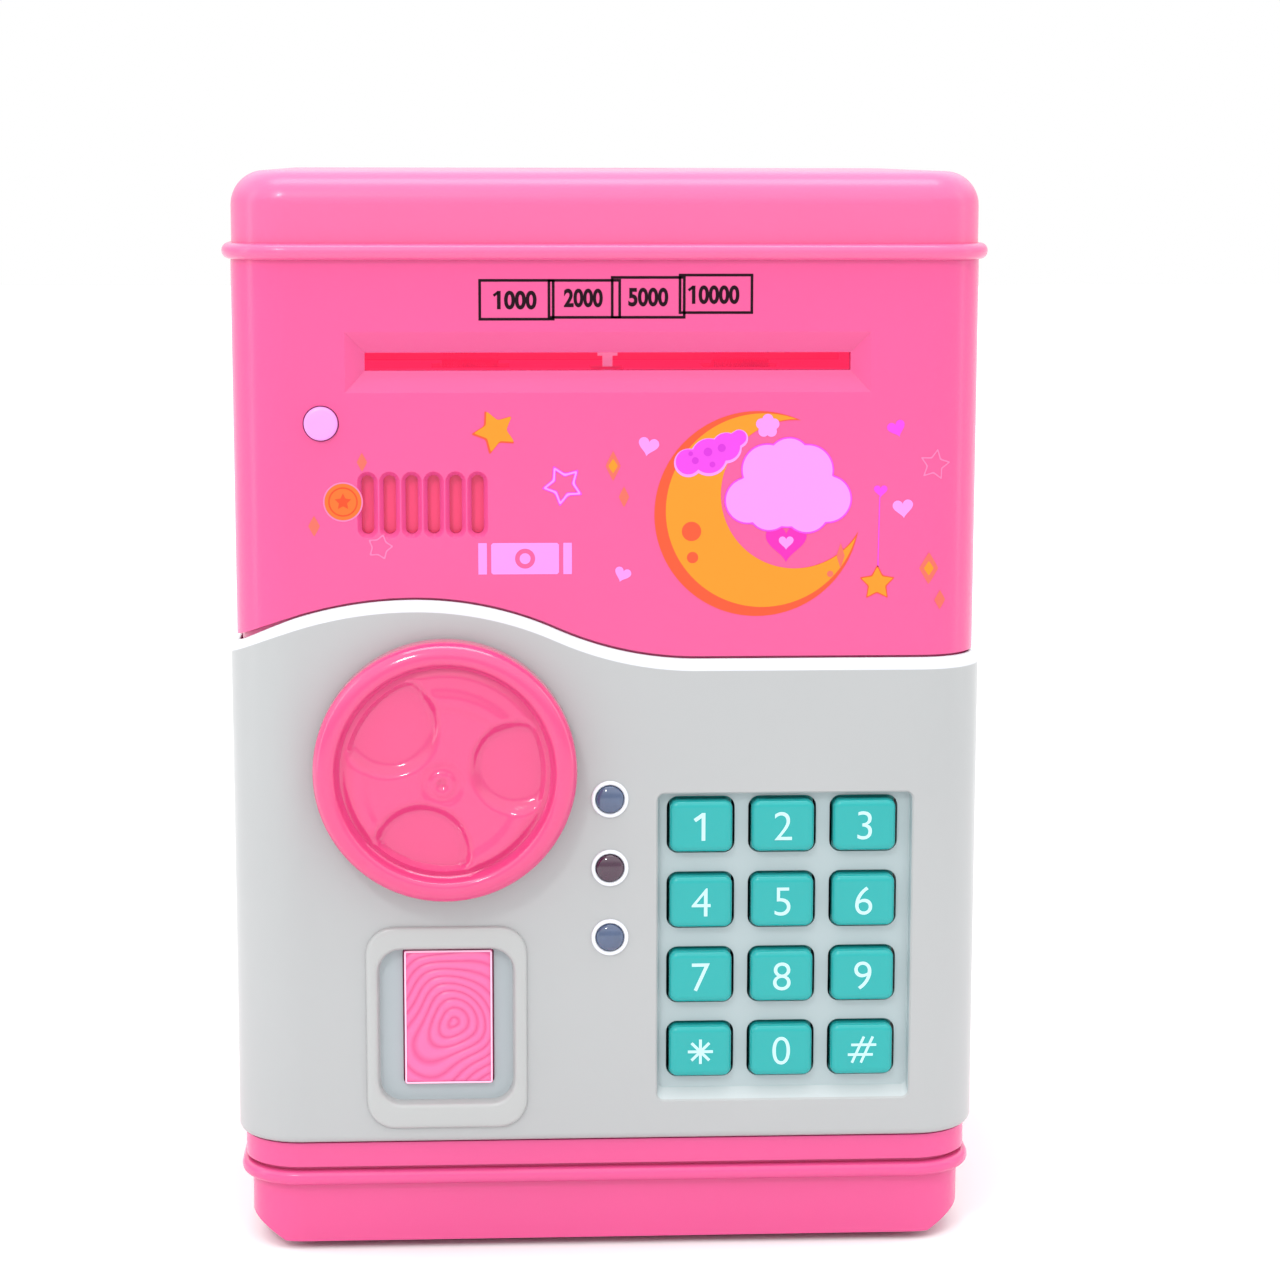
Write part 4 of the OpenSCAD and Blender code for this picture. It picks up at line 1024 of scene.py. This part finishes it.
def cloud(cx, cz, puffs):
    """The outline round overlapping circles, given by their place and radius."""
    def reach(a):
        best = 0.3
        for px, pz, pr in puffs:
            b = px * math.cos(a) + pz * math.sin(a)
            disc = b * b - (px * px + pz * pz - pr * pr)
            if disc > 0:
                best = max(best, b + math.sqrt(disc))
        return best
    return radial(cx, cz, reach, 160)


def swollen(puffs):
    """The same circles, larger, for the edge that shows round a cloud."""
    return [(x, z, r + 0.3) for x, z, r in puffs]


PUFFS = ((0, 0, 6.4), (-6.9, -1.8, 3.9), (7.0, -1.6, 4.0), (-3.6, 3.6, 4.3), (3.4, 3.4, 4.4),
         (0.2, 5.4, 3.6), (-3.2, -3.4, 3.6), (3.4, -3.6, 3.8))
SMALL = ((0, 0, 3.0), (-3.6, -1.0, 2.2), (3.0, 1.6, 2.4), (5.2, 3.2, 1.3))
PETALS = [2 * math.pi * k / 5 + 0.3 for k in range(5)]
FLOWER = [(1.15 * math.cos(a), 1.15 * math.sin(a), 0.95) for a in PETALS] + [(0, 0, 1.1)]
show("print_moon_rim", "rim", crescent(0.0, 25.9, 133.0, 18.0, 32.4, 136.4, 13.0))
show("print_moon", "orange", crescent(LAYER_1, 26.9, 133.6, 17.0, 32.6, 136.5, 13.1))
show("print_small_cloud_edge", "lilac", fill(cloud, 17.4, 143.0, swollen(SMALL), lift=LAYER_2))
show("print_small_cloud", "magenta", fill(cloud, 17.4, 143.2, SMALL, lift=LAYER_3))
show("print_small_cloud_dots", "violet", *[fill(circle, x, z, r, 24, lift=LAYER_4) for x, z, r in (
    (15.0, 142.4, 0.6), (17.2, 143.9, 0.75), (19.6, 144.6, 0.7), (18.0, 141.7, 0.5),
    (14.2, 143.6, 0.4))])
show("print_flower", "lilac", fill(cloud, 27.6, 148.4, FLOWER, lift=LAYER_2))
show("print_cloud_edge", "magenta", fill(cloud, 31.2, 137.2, swollen(PUFFS), lift=LAYER_2))
show("print_cloud", "lilac", fill(cloud, 31.2, 137.2, PUFFS, lift=LAYER_3))
# the two hearts lie between the moon's layers, so that no two prints share a plane
show("print_heart_big", "deep", fill(heart, 31.0, 127.8, 7.2, lift=0.01))
show("print_heart_small", "lilac", fill(heart, 31.0, 127.9, 2.6, lift=0.025))
show("print_moon_spots", "rim", fill(circle, 14.4, 130.0, 1.7, lift=LAYER_2),
     fill(circle, 14.6, 125.4, 1.0, lift=LAYER_2))
show("print_moon_shine", "coral", fill(sparkle, 40.6, 125.6, 0.7, 2.2, lift=LAYER_2),
     fill(circle, 38.8, 122.4, 0.55, lift=LAYER_2))
THREAD = (((47.25, 136.0), (47.45, 136.0)), ((47.1, 123.5), (47.3, 123.5)))
show("print_thread", "magenta", loft([flat(end) for end in THREAD], False))
show("print_thread_knot", "magenta", filled(47.5, 136.8, heart(47.5, 136.9, 2.4)))
show("print_hanging_star_rim", "rim", fill(star, 47.1, 120.7, 3.3, 90, 0.52, 0.3))
show("print_hanging_star", "orange", fill(star, 47.1, 120.7, 2.95, 90, 0.5, 0.3, lift=LAYER_1))


# boxes with numbers above the note slot
def box_outline(x0, x1, z0, z1, w=0.46):
    a = [(x0, z0), (x1, z0), (x1, z1), (x0, z1)]
    b = [(x0 + w, z0 + w), (x1 - w, z0 + w), (x1 - w, z1 - w), (x0 + w, z1 - w)]
    return band(a, b, 0.01)


# each label: its text, its box, the centre of the text and its width
LABELS = (("1000", (-22.5, -9.4, 166.7, 173.8), -15.9, 170.2, 6.8),
          ("2000", (-10.6, 2.05, 167.0, 173.8), -4.45, 170.55, 6.7),
          ("5000", (0.3, 13.2, 167.0, 174.3), 6.75, 170.7, 6.9),
          ("10000", (12.0, 24.9, 167.8, 174.7), 18.4, 171.1, 8.2))
LABEL_H, LABEL_BOLD, FLAG = 3.2, 0.035, ((0.2, 1.35), (-0.6, 0.75))
show("print_value_boxes", "black", *[box_outline(*box) for _, box, _, _, _ in LABELS])
for text, _, cx, cz, width in LABELS:
    glyphs("print_value_" + text, text, LABEL_H, cx, cz, FRONT - PRINT_Y, CASE_PRINT,
           INK["black"], "case", LABEL_BOLD, width)
    if text.startswith("1"):
        flag = strokes([FLAG], cx - width / 2, cz, 0.45, FRONT - PRINT_Y, CASE_PRINT)
        piece("print_flag_" + text, flag, INK["black"], "case")

# ------------------------------------------------------------ inner pieces keep their CAD form
from_cad("door_back_moulded", "door_back", WHITE, "door", 0.3)
from_cad("battery_box_moulded", "battery_box", BLACK, "case", 0.2)
for node, material in {
        "base_screws": ZINC, "lid_screws": ZINC, "hinge_pin": STEEL, "battery_cells": CELL,
        "battery_springs": STEEL, "cover_screw": ZINC, "speaker": BLACK, "main_board": BOARD,
        "button_board": BOARD, "feed_motor": CAN, "motor_pinion": BRASS, "drive_axle": STEEL,
        "drive_tyres": TYRE, "drive_gear": WHITE, "pinch_axle": STEEL, "pinch_tyres": TYRE,
        "flap_pin": STEEL, "note_switch": BLACK, "door_board": BOARD, "keypad_mat": MAT_SHADE_RUBBER,
        "door_screws": ZINC, "knob_screw": ZINC, "lock_cam": WHITE, "latch_arm": ZINC,
        "lock_coil": COPPER, "lock_plunger": STEEL, "lock_spring": STEEL}.items():
    repaint(node, material)

# ------------------------------------------------------------ floor, light and camera, in metres
FLOOR_HALF, FLOOR_Z = 4, -0.0002
corners = ((-1, -1), (1, -1), (1, 1), (-1, 1))
floor = linked("floor", bpy.data.meshes.new("floor"))
floor.data.from_pydata([(FLOOR_HALF * x, FLOOR_HALF * y, FLOOR_Z) for x, y in corners], [],
                       [(0, 1, 2, 3)])
ground = Mat("floor_paper")
ground.tint(ground.noise(6), (0.75, 0.75, 0.75), 0.74 / 0.75, 0.76 / 0.75)
ground.rough(ground.span(ground.noise(60), 0.7, 0.8))
floor.data.materials.append(ground.m)

world = bpy.data.worlds.new("studio")
world.use_nodes = True
world.node_tree.nodes["Background"].inputs["Color"].default_value = (1, 1, 1, 1)
sky = world.node_tree
height = sky.nodes.new("ShaderNodeSeparateXYZ")
sky.links.new(sky.nodes.new("ShaderNodeTexCoord").outputs["Generated"], height.inputs["Vector"])
rise = sky.nodes.new("ShaderNodeMapRange")
for k, v in zip(("From Min", "From Max", "To Min", "To Max"), (0.2, 0.5, 1.0, 1.9)):
    rise.inputs[k].default_value = v
sky.links.new(height.outputs["Z"], rise.inputs["Value"])
sky.links.new(rise.outputs["Result"], sky.nodes["Background"].inputs["Strength"])
bpy.context.scene.world = world
bpy.context.scene.view_settings.view_transform = "Standard"


def area(name, where, size, power):
    """A soft rectangular light that points at the middle of the object."""
    data = bpy.data.lights.new(name, "AREA")
    data.shape = "RECTANGLE"
    data.size, data.size_y = size
    data.energy = power
    ob = linked(name, data)
    ob.location = where
    ob.rotation_euler = (Vector((0, 0, 0.1)) - Vector(where)).to_track_quat("-Z", "Y").to_euler()


area("top_light", (0.0, -0.1, 1.0), (0.8, 0.3), 3.6)
area("spark_light", (-0.35, -0.85, 0.8), (0.12, 0.12), 2.6)
area("left_strip", (-0.75, -0.15, 0.3), (0.12, 0.7), 0.6)
area("right_strip", (0.8, -0.1, 0.3), (0.12, 0.7), 0.4)

# the camera was solved from the case's straight edges in the front view
cam_data = bpy.data.cameras.new("camera")
cam_data.lens = 86.59
cam_data.sensor_width = 36.0
cam = linked("camera", cam_data)
yaw, pitch, roll = (math.radians(a) for a in (2.988, 8.992, 0.105))
look = Vector((math.sin(yaw) * math.cos(pitch), math.cos(yaw) * math.cos(pitch), -math.sin(pitch)))
cam.rotation_mode = "QUATERNION"
cam.rotation_quaternion = look.to_track_quat("-Z", "Y") @ Matrix.Rotation(roll, 4, "Z").to_quaternion()
cam.location = (-0.02237, -0.58994, 0.19526)
bpy.context.scene.camera = cam
